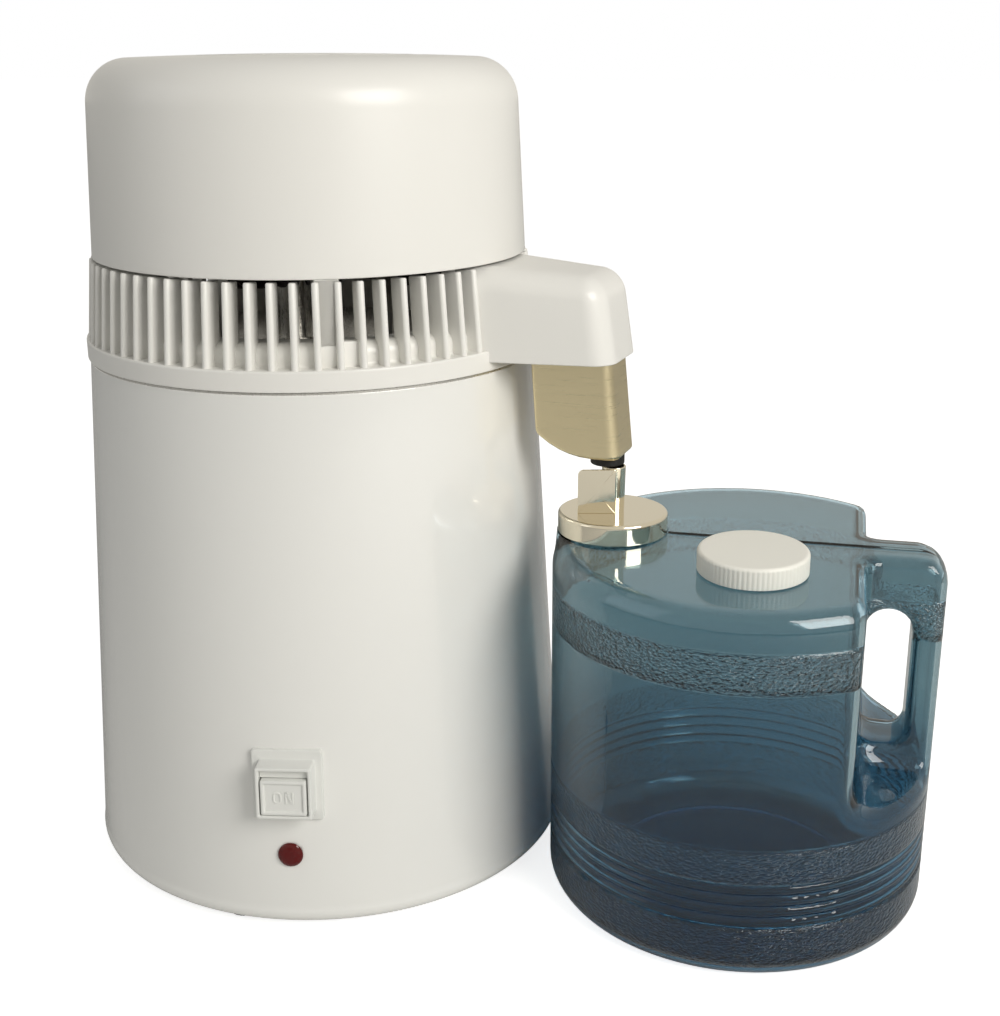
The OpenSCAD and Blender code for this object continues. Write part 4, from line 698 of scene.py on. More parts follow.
def blue_jug():
    """Clear blue polycarbonate, blow moulded: a smooth skin with a rough cast band under the rim, above the
    ribs and below them. Towards the foot the tint turns darker blue, as painted shade."""
    finish = sizes("finish")
    mat, tree, shader = new_material("polycarbonate, clear blue", finish.blue, 0.03,
                                     transmission_weight=1.0, ior=1.5, specular_ior_level=0.2)

    def maths(operation, first, second):
        return add_node(tree, "ShaderNodeMath", {0: first, 1: second}, operation=operation).outputs["Value"]

    place = add_node(tree, "ShaderNodeTexCoord").outputs["Object"]
    height = add_node(tree, "ShaderNodeSeparateXYZ", {"Vector": place}).outputs["Z"]

    def ramp(low, high, first=0.0, last=1.0, kind="LINEAR"):
        """A value that runs from first to last between two heights."""
        return add_node(tree, "ShaderNodeMapRange", {"Value": height, "From Min": low, "From Max": high,
                                                     "To Min": first, "To Max": last},
                        interpolation_type=kind).outputs["Result"]

    # Painted shade: below 3 cm the tint is the darker foot blue, and it blends into the top's blue by 11 cm
    tint = add_node(tree, "ShaderNodeMix", {"Factor": ramp(0.03, 0.11, kind="SMOOTHSTEP")}, data_type="RGBA")
    tint.inputs[6].default_value = tuple(finish.foot_shade_blue)
    tint.inputs[7].default_value = tuple(finish.blue)
    tree.links.new(tint.outputs[2], shader.inputs["Base Color"])
    # Each cast band fades in and out over 2 mm
    fade, bands = 1 * MM, []
    for low, high, strength in ((0.132, 0.148, 1.0), (0.047, 0.062, 0.7), (0.009, 0.0265, 0.7)):
        bands.append(maths("MULTIPLY", ramp(low - fade, low + fade, 0.0, strength),
                           ramp(high - fade, high + fade, 1.0, 0.0)))
    total = maths("ADD", maths("ADD", bands[0], bands[1]), bands[2])
    # Pebbles about 2 mm across, longer than they are high
    per_metre, tall = 560.0, 1.7
    squeeze = add_node(tree, "ShaderNodeMapping", {"Vector": place, "Scale": (1, 1, tall)}).outputs["Vector"]
    pebbles = add_node(tree, "ShaderNodeTexVoronoi",
                       {"Vector": squeeze, "Scale": per_metre, "Smoothness": 0.6},
                       feature="SMOOTH_F1").outputs["Distance"]
    wander = add_node(tree, "ShaderNodeTexNoise", {"Vector": squeeze, "Scale": 700.0, "Detail": 2.0})
    relief = maths("MULTIPLY", maths("ADD", pebbles, wander.outputs["Fac"]), total)
    bump = add_node(tree, "ShaderNodeBump", {"Height": relief, "Distance": 0.0009})
    tree.links.new(bump.outputs["Normal"], shader.inputs["Normal"])
    return mat


CARRIED = {
    "base_plate": zinc_steel, "rubber_feet": black_rubber, "foot_screws": zinc_steel,
    "foot_nuts": zinc_steel, "boiling_chamber": spun_steel, "chamber_rim": spun_steel,
    "heat_spreader": cast_aluminium, "heating_element": black_coil, "element_clamp": zinc_steel,
    "tie_rod": zinc_steel, "tie_nuts": zinc_steel, "thermostats": black_nylon,
    "heat_shield": cast_aluminium, "shield_pillars": zinc_steel, "switch_body": switch_white,
    "lamp_holder": switch_white, "lamp_nut": zinc_steel, "mains_inlet": black_nylon,
    "inlet_pins": brass, "inlet_screws": zinc_steel, "fan_socket": black_nylon,
    "steam_plate": spun_steel, "head_gasket": cream_rubber, "deck_screws": zinc_steel,
    "dome_screws": zinc_steel, "steam_riser": spun_steel, "condenser_coil": black_coil,
    "condenser_fins": black_coil, "coil_brackets": zinc_steel, "outlet_tube": spun_steel,
    "tube_union": brass, "filter_cup": moulded_cap, "cover_screws": zinc_steel,
    "fan_frame": black_nylon, "fan_motor": zinc_steel, "fan_screws": zinc_steel,
    "fan_inlet": black_nylon, "fan_shaft": zinc_steel, "fan_impeller": black_nylon,
    "lid_seal": cream_rubber, "cap_liner": cream_rubber,
}


class Maker(bpy.types.Operator):
    """What the operators share"""
    bl_options = {"REGISTER", "UNDO"}

    def execute(self, context):
        self.build(context)
        return {"FINISHED"}


class DISTILLER_OT_inner_works(Maker):
    """Finish the carried-over boiler, condenser, fan, sockets and fasteners"""
    bl_idname = "distiller.inner_works"
    bl_label = "Inner works"

    def build(self, context):
        made = {}
        for node, finish in CARRIED.items():
            if finish not in made:
                made[finish] = finish()
            for place in NODES[node].material_slots:
                place.material = made[finish]


class DISTILLER_OT_housing(Maker):
    """Make the housing: one wall line with a rolled hem, turned about the vertical axis"""
    bl_idname = "distiller.housing"
    bl_label = "Housing"

    def build(self, context):
        s = sizes("housing")
        # Holes: direction, height, half width, half height, and the share of a side that stays straight
        holes = [(s.panel_turn, s.switch_z, s.switch_cut, s.switch_cut_h, 1),
                 (s.panel_turn, s.lamp_z, s.lamp_cut, s.lamp_cut, 0.6),
                 (s.rear_turn, s.inlet_z, s.inlet_cut, s.inlet_cut_h, 1),
                 (s.rear_turn, s.socket_z, s.socket_cut, s.socket_cut, 0.6)]
        hem_start, lowest_row, highest_row = 13 * MM, 17 * MM, s.top_z - 4 * MM
        hem_ends = np.radians((14, -125))
        columns = [np.linspace(0, math.tau, 288, endpoint=False)]
        heights = [np.linspace(lowest_row, highest_row, 48),
                   (s.top_z, s.top_z - 0.5 * MM, hem_start + 1.5 * MM, hem_start)]
        for turn, z, half_w, half_h, straight in holes:
            cuts = np.array([-1, -straight, straight, 1])
            columns.append((turn + cuts * half_w / wall_radius(z)) % math.tau)
            heights.append(z + cuts * half_h)
        columns = np.unique(np.concatenate(columns))
        heights = np.unique(np.concatenate(heights))[::-1]
        wall = np.column_stack([wall_radius(heights), heights])
        sweep = np.linspace(*hem_ends, 30)
        hem = np.array((s.base_r - s.hem_r, s.foot_z + s.hem_r)) \
            + s.hem_r * np.column_stack([np.cos(sweep), np.sin(sweep)])
        lip = raised(np.linspace(hem[-1, 0] - 1 * MM, s.lip_r, 4), s.foot_z + s.sheet)
        profile = np.concatenate([wall, hem, lip])
        after = np.roll(columns, -1)
        middle_a = (columns + after + np.where(after < columns, math.tau, 0)) / 2
        middle_z = (profile[:-1, 1] + profile[1:, 1]) / 2
        on_wall = np.arange(len(profile) - 1) < len(heights) - 1
        keep = np.ones((len(columns), len(profile) - 1), bool)
        for turn, z, half_w, half_h, straight in holes:
            across = np.abs((middle_a - turn + math.pi) % math.tau - math.pi) * wall_radius(z) / half_w
            across, up = across[:, None], np.abs(middle_z - z)[None] / half_h
            keep &= ~((across < 1) & (up < 1) & ((across < straight) | (up < straight)) & on_wall)
        skin = flipped(lathe(profile, closed=False, angles=columns, keep=keep))
        make_piece("housing_wall", "housing", skin, baked_enamel(), wall=s.sheet, sharp=60)


class DISTILLER_OT_switch(Maker):
    """Make the switch bezel, its push key and the pilot lamp's lens"""
    bl_idname = "distiller.switch"
    bl_label = "Switch and lamp"

    def rows(self, levels, wall_r=None):
        """Rounded rectangles, one per (width, height, radius, level); the lowest follow the round wall."""
        lines = []
        for w, h, r, z in levels:
            line = soften([(-w / 2, -h / 2, r), (w / 2, -h / 2, r), (w / 2, h / 2, r), (-w / 2, h / 2, r)], 5)
            if wall_r and z <= 0:
                z = np.sqrt(wall_r ** 2 - line[:, 0] ** 2) - wall_r + z
            lines.append(raised(line, z))
        return lines

    def build(self, context):
        s, h = sizes("switch"), sizes("housing")
        lean = math.atan((h.base_r - h.top_r) / (h.top_z - h.foot_z))
        white = switch_white()
        place = frame_turn(h.panel_turn, h.switch_z, wall_radius(h.switch_z), lean)
        e = s.edge
        inner_w, inner_h = s.shroud_w - 2 * s.shroud_t, s.shroud_h - 2 * s.shroud_t

        def level(w, h, more, radius, z):
            """One row of a frame whose width and height grow by the same amount."""
            return w + more, h + more, radius, z

        flange, shroud, inner = (s.flange_w, s.flange_h), (s.shroud_w, s.shroud_h), (inner_w, inner_h)
        low, out = s.flange_t, s.shroud_out
        bezel = [level(*flange, 0, 1.2 * MM, -0.1 * MM), level(*flange, 0, 1.2 * MM, low - 2 * e),
                 level(*flange, -0.6 * e, 1.1 * MM, low - 0.6 * e), level(*flange, -2 * e, 1 * MM, low),
                 level(*flange, -4 * e, 1 * MM, low), level(*shroud, 3 * e, 1.4 * MM, low),
                 level(*shroud, e, 1.2 * MM, low + 0.4 * e), level(*shroud, 0, 1 * MM, low + 1.6 * e),
                 level(*shroud, 0, 1 * MM, out - 2 * e), level(*shroud, -0.5 * e, 0.9 * MM, out - 0.6 * e),
                 level(*shroud, -2 * e, 0.8 * MM, out), level(*inner, 2 * e, 0.8 * MM, out),
                 level(*inner, 0.5 * e, 0.6 * MM, out - 0.6 * e), level(*inner, 0, 0.5 * MM, out - 2 * e),
                 level(*inner, 0, 0.5 * MM, -0.2 * MM)]
        bezel = rings(self.rows(bezel, wall_radius(h.switch_z)), closed=True)
        make_piece("switch_bezel_skin", "switch_bezel", moved(bezel, place), white, sharp=60)

        # The key stands on the lower side of the shroud's opening, and its dish carries the word ON
        key = (inner_w - s.key_gap, s.key_h)
        front, floor = out + 0.5 * MM, out + 0.5 * MM - s.dish
        back = front - s.key_t
        rows = [level(*key, 0, 0.8 * MM, back), level(*key, 0, 0.8 * MM, front - 0.7 * MM),
                level(*key, -0.3 * MM, 0.8 * MM, front - 0.2 * MM), level(*key, -1 * MM, 0.7 * MM, front),
                level(*key, -2.6 * MM, 0.6 * MM, front), level(*key, -3.2 * MM, 0.5 * MM, front - 0.25 * MM),
                level(*key, -3.6 * MM, 0.4 * MM, floor), level(*key, -4.4 * MM, 0.4 * MM, floor)]
        stem_r, stem_foot, stem_top = 2.4 * MM, back - 9 * MM, back + 0.5 * MM
        stem = lathe(soften([(0, stem_foot, 0), (stem_r, stem_foot, 0.3 * MM), (stem_r, stem_top, 0),
                             (0, stem_top, 0)], 3), 32, closed=False)

        # The letter O is a rounded ring, the letter N two uprights and a slanting stroke
        wide, high, pen, rise = s.letter_w, s.letter_h, s.pen, s.rise
        r = 1.6 * MM
        letter_o = [level(wide, high, -inset * pen, r * corner, floor + up * rise) for inset, corner, up in
                    ((0, 1, 0), (0, 1, 0.7), (0.3, 0.9, 1), (1.7, 0.5, 1), (2, 0.45, 0.7), (2, 0.45, 0))]
        letters = [moved(rings(self.rows(letter_o), closed=True), shift(-2.7 * MM))]
        x, y = wide / 2, high / 2
        for line in ([(-x, -y), (-x + pen, -y), (-x + pen, y), (-x, y)],
                     [(x - pen, -y), (x, -y), (x, y), (x - pen, y)],
                     [(x - 1.35 * pen, -y), (x, -y), (-x + 1.35 * pen, y), (-x, y)]):
            line = np.array(line)
            inner = line.mean(0) + (line - line.mean(0)) * np.array((0.8, 0.96))
            letters.append(moved(slab(line, inner, rise, 0.3 * rise), shift(2.5 * MM, 0, floor)))
        up = -inner_h / 2 + 0.4 * MM + s.key_h / 2
        skin = join(stack(self.rows(rows)), stem, *letters)
        make_piece("push_key_skin", "push_key", moved(skin, place @ shift(0, up)), white, sharp=40)

        # The lens: a flat-sided rim and three rows of facets up to the middle
        place = frame_turn(h.panel_turn, h.lamp_z, wall_radius(h.lamp_z), lean)
        r, bore, chamfer = s.lens_d / 2, h.lamp_cut, 0.3 * MM
        facets = [(0.93, 1.25 * MM), (0.72, 1.9 * MM), (0.42, 2.25 * MM), (0, 2.35 * MM)]
        line = [(bore, 0), (r - chamfer, 0), (r, chamfer), (r, 0.8 * MM),
                *((r * share, z) for share, z in facets), (0, 0.5 * MM), (bore, 0.5 * MM)]
        lens = moved(lathe(np.array(line), 24), place)
        make_piece("lamp_lens_skin", "lamp_lens", lens, lamp_glass(), sharp=9)


class DISTILLER_OT_louvre_ring(Maker):
    """Make the ring under the cover: a band with a curb, and a row of round-nosed fins"""
    bl_idname = "distiller.louvre_ring"
    bl_label = "Louvre ring"

    def build(self, context):
        s = sizes("head")
        t = s.ring_t
        band = soften([(s.ring_r - t, s.ring_z, 0.3 * MM), (s.ring_r, s.ring_z, 0.5 * MM),
                       (s.ring_r, s.ledge_z, 0.9 * MM), (s.curb_r, s.ledge_z, 1.2 * MM),
                       (s.curb_r, s.deck_z, s.curb_edge), (s.deck_r, s.deck_z, 0.6 * MM),
                       (s.deck_r, s.plate_z, 0), (s.deck_r + t, s.plate_z, 0),
                       (s.deck_r + t, s.deck_z - t, 0.4 * MM), (s.curb_r - t, s.deck_z - t, s.curb_edge - t),
                       (s.curb_r - t, s.ledge_z - t, 0.4 * MM), (s.ring_r - t, s.ledge_z - t, 0.4 * MM)], 5)
        ring = lathe(support(band, closed=True))

        lean = math.atan2(s.fin_foot - s.fin_tip, s.fin_h)
        half = s.fin_t / 2
        nose = np.radians(np.linspace(-90, 90, 13))

        def section(inset, z):
            """The fin's plan drawn in by inset: straight flanks and a half-round nose."""
            r = half - inset
            line = np.concatenate([[(-s.fin_depth + inset, -r)],
                                   np.column_stack([-half + r * np.cos(nose), r * np.sin(nose)]),
                                   [(-s.fin_depth + inset, r)]])
            return raised(line, z)

        top = s.fin_h - 0.2 * MM
        rows = [section(0, -1 * MM), section(0, 1 * MM), section(0, 0.5 * top), section(0, top - 0.6 * MM),
                section(0.12 * MM, top - 0.25 * MM), section(0.4 * MM, top), section(0.8 * MM, top)]
        tilt = shift(s.fin_foot, 0, s.ledge_z) @ Matrix.Rotation(-lean, 4, "Y")
        fin = moved(stack(rows), tilt)
        pitch = math.tau / s.fin_count
        places = np.arange(s.arm_places / 2, s.fin_count - s.arm_places / 2) + 0.5
        fins = turned(fin, places * pitch)

        half_w, sunk, r = s.post_w / 2, 1 * MM, 0.6 * MM

        def block(x0, z0):
            """An upright block with chamfered ends, from the radius x0 out to the fins' tips."""
            def plan(inset, corner):
                low, high, w = x0 + inset, s.fin_tip - 1.5 * MM - inset, half_w - inset
                return soften([(low, -w, corner), (high, -w, corner), (high, w, corner), (low, w, corner)], 4)

            return moved(slab(plan(0, r), plan(r / 2, r / 2), s.rim_z - z0, r / 2), shift(0, 0, z0))

        post = join(block(post_radius() - half_w, s.deck_z - sunk), block(s.curb_r - sunk, s.ledge_z - sunk))
        # The raised foot block beside each post, swept along the curb
        sweep = np.linspace(0, 1.5 * pitch, 8)
        x0, x1, z0, z1 = s.curb_r - 3 * MM, s.curb_r + 1.6 * MM, s.ledge_z - sunk, s.deck_z + 0.8 * MM
        cut = soften([(x0, z0, 0), (x1, z0, 0), (x1, z1, r), (x0, z1, r)], 3)
        foot = stack(around(cut[:, 0], sweep[:, None], cut[:, 1]))
        white = moulded_white()
        make_piece("ring_band", "louvre_ring", ring, white, sharp=50)
        make_piece("ring_fins", "louvre_ring", fins, white, sharp=50)
        posts = join(turned(post, post_turns()), turned(foot, post_turns()))
        make_piece("ring_posts", "louvre_ring", posts, white, sharp=50)


class DISTILLER_OT_spout_arm(Maker):
    """Make the spout's arm: a plan outline carried up the wall and over a rounded edge"""
    bl_idname = "distiller.spout_arm"
    bl_label = "Spout arm"

    def build(self, context):
        s = sizes("spout")
        reach = s.end_x - s.root_x
        edge = s.edge_r + 1 * MM

        def outline(inset):
            """Side, rounded corner, end, rounded corner, side: the plan drawn in by inset."""
            r = max(s.edge_r + 2 * MM - inset, 0.3 * MM)
            line = soften([(s.root_x, -s.root_w / 2 + inset, 0), (s.end_x - inset, -s.end_w / 2 + inset, r),
                           (s.end_x - inset, s.end_w / 2 - inset, r), (s.root_x, s.root_w / 2 - inset, 0)],
                          10, closed=False)
            return support(line, 1 * MM, 6 * MM)

        base = outline(0.0)

        def fitted(inset):
            """The same number of points as the outline at no inset, spaced alike."""
            line = outline(inset)
            if len(line) == len(base):
                return line
            a, b = (np.append(0, np.cumsum(np.linalg.norm(np.diff(run, axis=0), axis=1)))
                    for run in (base, line))
            t = a / a[-1] * b[-1]
            return np.column_stack([np.interp(t, b, line[:, 0]), np.interp(t, b, line[:, 1])])

        # Up the wall, over the edge, and in to the middle line of the top
        rows = [(base, up, 0.0) for up in (0, 0.02, 0.25, 0.5, 0.75, 1)]
        rows += [(fitted(edge * (1 - math.cos(a))), 1, edge * math.sin(a))
                 for a in np.radians(np.linspace(0, 90, 13)[1:])]
        last = rows[-1][0]
        middle = raised(np.minimum(last[:, 0], s.end_x - edge - 12 * MM), 0)
        rows += [(last + (middle - last) * t, 1, edge) for t in (0.06, 0.3, 0.6, 1)]
        skin_rows = []
        for line, up, over in rows:
            part = (line[:, 0] - s.root_x) / reach
            z = s.floor_z + (s.top_z - s.fall * part - edge - s.floor_z) * up + over
            x = line[:, 0] - (z - s.floor_z) * math.tan(s.lean) * part
            skin_rows.append(np.column_stack([x, line[:, 1], z]))
        skin = grid(np.array(skin_rows).transpose(1, 0, 2))
        make_piece("spout_arm", "louvre_ring", skin, moulded_white(), wall=s.wall, bevel=0.5 * MM, sharp=60)


class DISTILLER_OT_cover(Maker):
    """Make the fan cover: a rounded bell turned about the axis, with rings of slots between spokes"""
    bl_idname = "distiller.cover"
    bl_label = "Cover"

    def build(self, context):
        s = sizes("head")
        flat_z = s.crown_z - s.crown
        line = soften([(s.rim_r, s.rim_z, 0), (s.shoulder_r, flat_z, s.edge_r), (0, flat_z, 0)], 22,
                      closed=False)
        rim = [(s.rim_r - 0.5 * MM, s.rim_z), (s.rim_r - 0.12 * MM, s.rim_z + 0.15 * MM),
               (s.rim_r, s.rim_z + 0.5 * MM)]
        line = np.concatenate([rim, line[1:]])
        top_r = line[-2, 0]
        side = support(line[:4], 0.8 * MM, 5 * MM)
        slots = s.slot_r + s.slot_pitch * np.arange(s.slot_rings)
        outside = np.linspace(top_r, slots[-1] + s.slot_w + 3 * MM, 8)[1:]
        middle = np.array((9, 5, 2)) * MM
        radii = np.concatenate([outside, np.column_stack([slots, slots + s.slot_w]).ravel(), middle])
        radii = np.unique(np.round(radii, 7))[::-1]
        radii = radii[radii < top_r - 0.5 * MM]
        heights = flat_z + s.crown * (1 - (radii / top_r) ** 2)
        profile = np.concatenate([side, line[4:-1], np.column_stack([radii, heights])])
        # Columns follow the spokes' straight edges: a fixed width, so the angle grows towards the middle
        r = profile[:, 0]
        on_spoke, on_slot, narrowest, widest = 4, 28, 8 * MM, 0.38
        half = np.arcsin(np.clip(s.spoke_w / 2 / np.maximum(r, narrowest), 0, widest))
        part = np.append(np.linspace(-1, 1, on_spoke + 1)[:-1], np.zeros(on_slot))
        run = np.append(np.zeros(on_spoke), np.linspace(0, 1, on_slot, endpoint=False))
        is_slot = np.arange(on_spoke + on_slot) >= on_spoke
        pitch = math.tau / s.spokes
        angles = np.where(is_slot[:, None], half + run[:, None] * (pitch - 2 * half), part[:, None] * half)
        angles = (angles[None] + np.arange(s.spokes)[:, None, None] * pitch).reshape(-1, len(r))
        between, near = (r[:-1] + r[1:]) / 2, 1e-6
        band = np.any((between[:, None] > slots + near) & (between[:, None] < slots + s.slot_w - near), 1)
        keep = ~(np.tile(is_slot, s.spokes)[:, None] & band[None])
        bell = grid(around(r, angles, profile[:, 1]), wrap_u=True, keep=keep)
        white = moulded_white()
        make_piece("cover_bell", "dome_cover", bell, white, wall=s.cover_t, bevel=0.5 * MM, sharp=60)

        bore, r, high = 1.6 * MM, 4 * MM, 14 * MM
        peg = soften([(bore, 0, 0), (r, 0, 0.3 * MM), (r, high, 0.3 * MM), (bore, high, 0)], 3)
        pegs = turned(moved(lathe(peg, 24), shift(post_radius(), 0, s.rim_z)), post_turns())
        low, high = flat_z - s.cover_t - 9 * MM, flat_z - s.cover_t + 1 * MM
        boss = np.array([(bore, low), (r, low), (r, high), (bore, high)])
        bosses = turned(moved(lathe(boss, 24), shift(s.boss_r)), np.radians([45, 135, 225, 315]))
        make_piece("cover_bosses", "dome_cover", join(pegs, bosses), white, sharp=40)


class DISTILLER_OT_spout_cover(Maker):
    """Make the bent sheet cover under the arm, and the black drip seal"""
    bl_idname = "distiller.spout_cover"
    bl_label = "Spout cover and seal"

    def build(self, context):
        s = sizes("spout")
        lean = math.tan(s.cover_lean)
        end = s.cover_end + (s.cover_top - s.cover_z) * lean
        # The floor is flat under the drip point and sweeps up towards the back on an arc
        flat_from = s.drip_x - 4 * MM
        sweep_r = ((flat_from - s.cover_back) ** 2 + s.cover_rise ** 2) / (2 * s.cover_rise)
        corners = ((s.cover_back, 1, 1.5 * MM, 0.2 * MM), (end, -1, 5 * MM, 0.5 * MM))

        def floor_z(x):
            back = np.minimum(np.maximum(flat_from - x, 0), sweep_r * 0.99)
            return s.cover_z + sweep_r - np.sqrt(sweep_r ** 2 - back ** 2)

        def outline(inset):
            """The plan drawn in by inset, with the same number of points on each straight run and arc."""
            half = s.cover_w / 2 - inset
            low = [(x + side * inset, -half, max(r - inset, least)) for x, side, r, least in corners]
            high = [(x, -y, r) for x, y, r in reversed(low)]
            arcs = soften(low + high, 7).reshape(4, -1, 2)
            t = np.array([0.03, 0.15, 0.3, 0.45, 0.6, 0.75, 0.88, 0.97])[:, None]
            runs = [np.concatenate([arc, arc[-1] + (after[0] - arc[-1]) * t])
                    for arc, after in zip(arcs, np.roll(arcs, -1, 0))]
            return np.concatenate(runs)

        base = outline(0.0)
        share = np.clip((base[:, 0] - s.cover_back) / (end - s.cover_back), 0, 1)
        low = floor_z(base[:, 0]) + s.bend
        rows = []
        for t in (0, 0.2, 0.4, 0.6, 0.8, 0.97, 1):
            z = s.cover_top + (low - s.cover_top) * t
            back_lean = 4 * MM * (z - low) / (s.cover_top - s.cover_z)
            x = base[:, 0] - (z - low) * lean * share ** 3 - back_lean * (1 - share) ** 3
            rows.append(np.column_stack([x, base[:, 1], z]))
        for a in np.radians(np.linspace(0, 90, 8)[1:]):
            line = outline(s.bend * (1 - math.cos(a)))
            rows.append(raised(line, floor_z(line[:, 0]) + s.bend * (1 - math.sin(a))))
        last = rows[-1][:, :2]
        middle = raised(np.clip(last[:, 0], s.cover_back + 8 * MM, end - 10 * MM), 0)
        for t in (0.08, 0.4, 0.7, 1):
            line = last + (middle - last) * t
            rows.append(raised(line, floor_z(line[:, 0])))
        make_piece("spout_cover_sheet", "spout_cover", flipped(rings(rows)), brushed_sheet(),
                   wall=s.sheet, sharp=50)

        low, high = s.seal_z, s.cover_z - 0.02 * MM
        ring = soften([(s.seal_bore, low, 0.3 * MM), (s.seal_r, low, 0.7 * MM), (s.seal_r, high, 0.4 * MM),
                       (s.seal_bore, high, 0.3 * MM)], 4)
        seal = moved(lathe(support(ring, 0.2 * MM, 2 * MM, True), 64), shift(s.drip_x))
        make_piece("drip_seal_ring", "drip_seal", seal, black_rubber(), sharp=50)


class DISTILLER_OT_jug(Maker):
    """Make the clear jug: a blow-moulded skin of even thickness round a distance field, with its two necks"""
    bl_idname = "distiller.jug"
    bl_label = "Jug"

    def build(self, context):
        s = sizes("jug")
        wall, slope = s.wall, math.tan(s.cap_tilt)

        def deck(y):
            """Height of the top: level behind the handle line, and a step down and falling in front."""
            return np.where(y > -SAME, s.jug_h, s.jug_h - s.step + y * slope)

        def round_box(out, up, corner):
            """Distance to a box with rounded corners, from the distances past its two sides."""
            out, up = out + corner, up + corner
            outside = np.hypot(np.maximum(out, 0), np.maximum(up, 0))
            return np.minimum(np.maximum(out, up), 0) + outside - corner

        def past(value, low, high):
            """How far a value lies outside a span."""
            return np.abs(value - (low + high) / 2) - (high - low) / 2

        def field(points):
            """Distance to the skin, below zero inside: a rounded drum with ribs, cut by the deck, by a
            pocket on each side of the handle and by the finger hole."""
            x, y, z = points[..., 0], points[..., 1], points[..., 2]
            r = np.hypot(x, y)
            drum = round_box(r - s.jug_r, past(z, 0, s.jug_h), s.edge)
            rib = (z - s.rib_z) / s.rib_pitch
            valley = np.where((rib > 0) & (rib < s.ribs), 1 - np.abs(np.sin(math.pi * rib)), 0)
            drum = drum + s.rib_depth * valley
            # The foot is hollow in the middle; outside it this plane stays clear below the drum
            clear = 2 * MM
            hollow = (s.hollow + clear) * np.clip((s.hollow_r - r) / s.hollow_run, 0, 1) - clear
            drum = blend(drum, 0.9 * (hollow - z), 2 * MM)
            # Behind the handle line the deck's plane is lifted out of the way, over a crease
            lift = np.clip(0.5 + y / s.crease, 0, 1) * (s.step + 3 * MM)
            drum = blend(drum, z - (s.jug_h - s.step + np.minimum(y, 0) * slope + lift), 1.6 * MM)
            pocket = blend(blend(s.pocket_x - x, s.pocket_z - z, 17 * MM), s.handle / 2 - np.abs(y), 10 * MM)
            upper = z > (s.finger_low + s.finger_top) / 2
            hole = round_box(past(x, s.pocket_x + 1 * MM, s.grip_x), past(z, s.finger_low, s.finger_top),
                             np.where(upper, s.finger_r, s.finger_low_r))
            hole = np.maximum(hole, np.abs(y) - s.handle)
            return blend(drum, blend(-pocket, -hole, 3.2 * MM), 4.5 * MM)

        # The grid is fine over the ribs and at the crease of the deck
        coarse, fine, reach = 2.2 * MM, 0.68 * MM, s.jug_r + 3 * MM
        side = np.linspace(-reach, reach, 78)
        crease = np.array([-1.5, -0.9, -0.3, 0.3, 0.9, 1.5]) * MM
        across = np.sort(np.append(side[np.abs(side) > 2 * MM], crease))
        ribs_top = s.rib_z + s.ribs * s.rib_pitch
        rows = np.concatenate([np.arange(-3 * MM, s.rib_z - 1 * MM, coarse),
                               np.arange(s.rib_z - 0.6 * MM, ribs_top + 0.8 * MM, fine),
                               np.arange(ribs_top + 2 * MM, s.jug_h + 5 * MM, coarse)])
        place = np.stack(np.meshgrid(side, across, rows, indexing="ij"), -1)
        values = field(place)
        outer = settle(nets(values, place), field)
        inner = settle(nets(-(values + wall), place), lambda points: -(field(points) + wall))

        # Each neck: its place, its seat's radius, its own radius and top, and whether the lid sits on it
        cap = shift(s.cap_x, -s.cap_side, deck(-s.cap_side)) @ Matrix.Rotation(s.cap_tilt, 4, "X")
        mouth_top = s.lid_top - s.lid_t - 1.2 * MM
        necks, edge, straight, top_skin = [], 0.3 * MM, 1.5 * MM, s.jug_h - 18 * MM
        for matrix, seat_r, r, top, is_mouth in (
                (shift(-s.mouth_x), s.lid_r + 0.4 * MM, s.mouth_r, mouth_top, True),
                (cap, s.neck_r, s.neck_r, s.neck_h, False)):
            matrix = np.array(matrix)

            def ring(angles, radius, height):
                return around(radius, angles, height) @ matrix[:3, :3].T + matrix[:3, 3]

            def ground(angles, radius):
                return deck(radius * np.sin(angles)) if is_mouth else np.zeros_like(angles)

            outer, rim, about = opened(outer, matrix[:3, 3], seat_r, top_skin)
            foot = ring(about, seat_r, ground(about, seat_r))
            outer[0][rim] = foot
            seat = np.minimum(s.lid_low - 0.3 * MM, ground(about, seat_r) - 0.02 * MM) if is_mouth else 0
            above = [foot] + ([ring(about, seat_r, seat)] if is_mouth else [])
            above += [ring(about, radius, height) for radius, height in
                      ((r, seat), (r, top - straight), (r, top - edge), (r - edge, top))]
            bore = r - wall
            inner, rim, within = opened(inner, matrix[:3, 3], bore, top_skin)
            foot = ring(within, bore, ground(within, bore) - wall)
            inner[0][rim] = foot
            below = [ring(within, radius, height) for radius, height in
                     ((bore + edge, top), (bore, top - edge), (bore, top - straight))] + [foot]
            necks += [rings(above), strip(about, within, above[-1], below[0]), rings(below)]
        skin = moved(join(outer, inner, *necks), jug_place())
        make_piece("jug_skin", "jug_body", skin, blue_jug(), sharp=60)


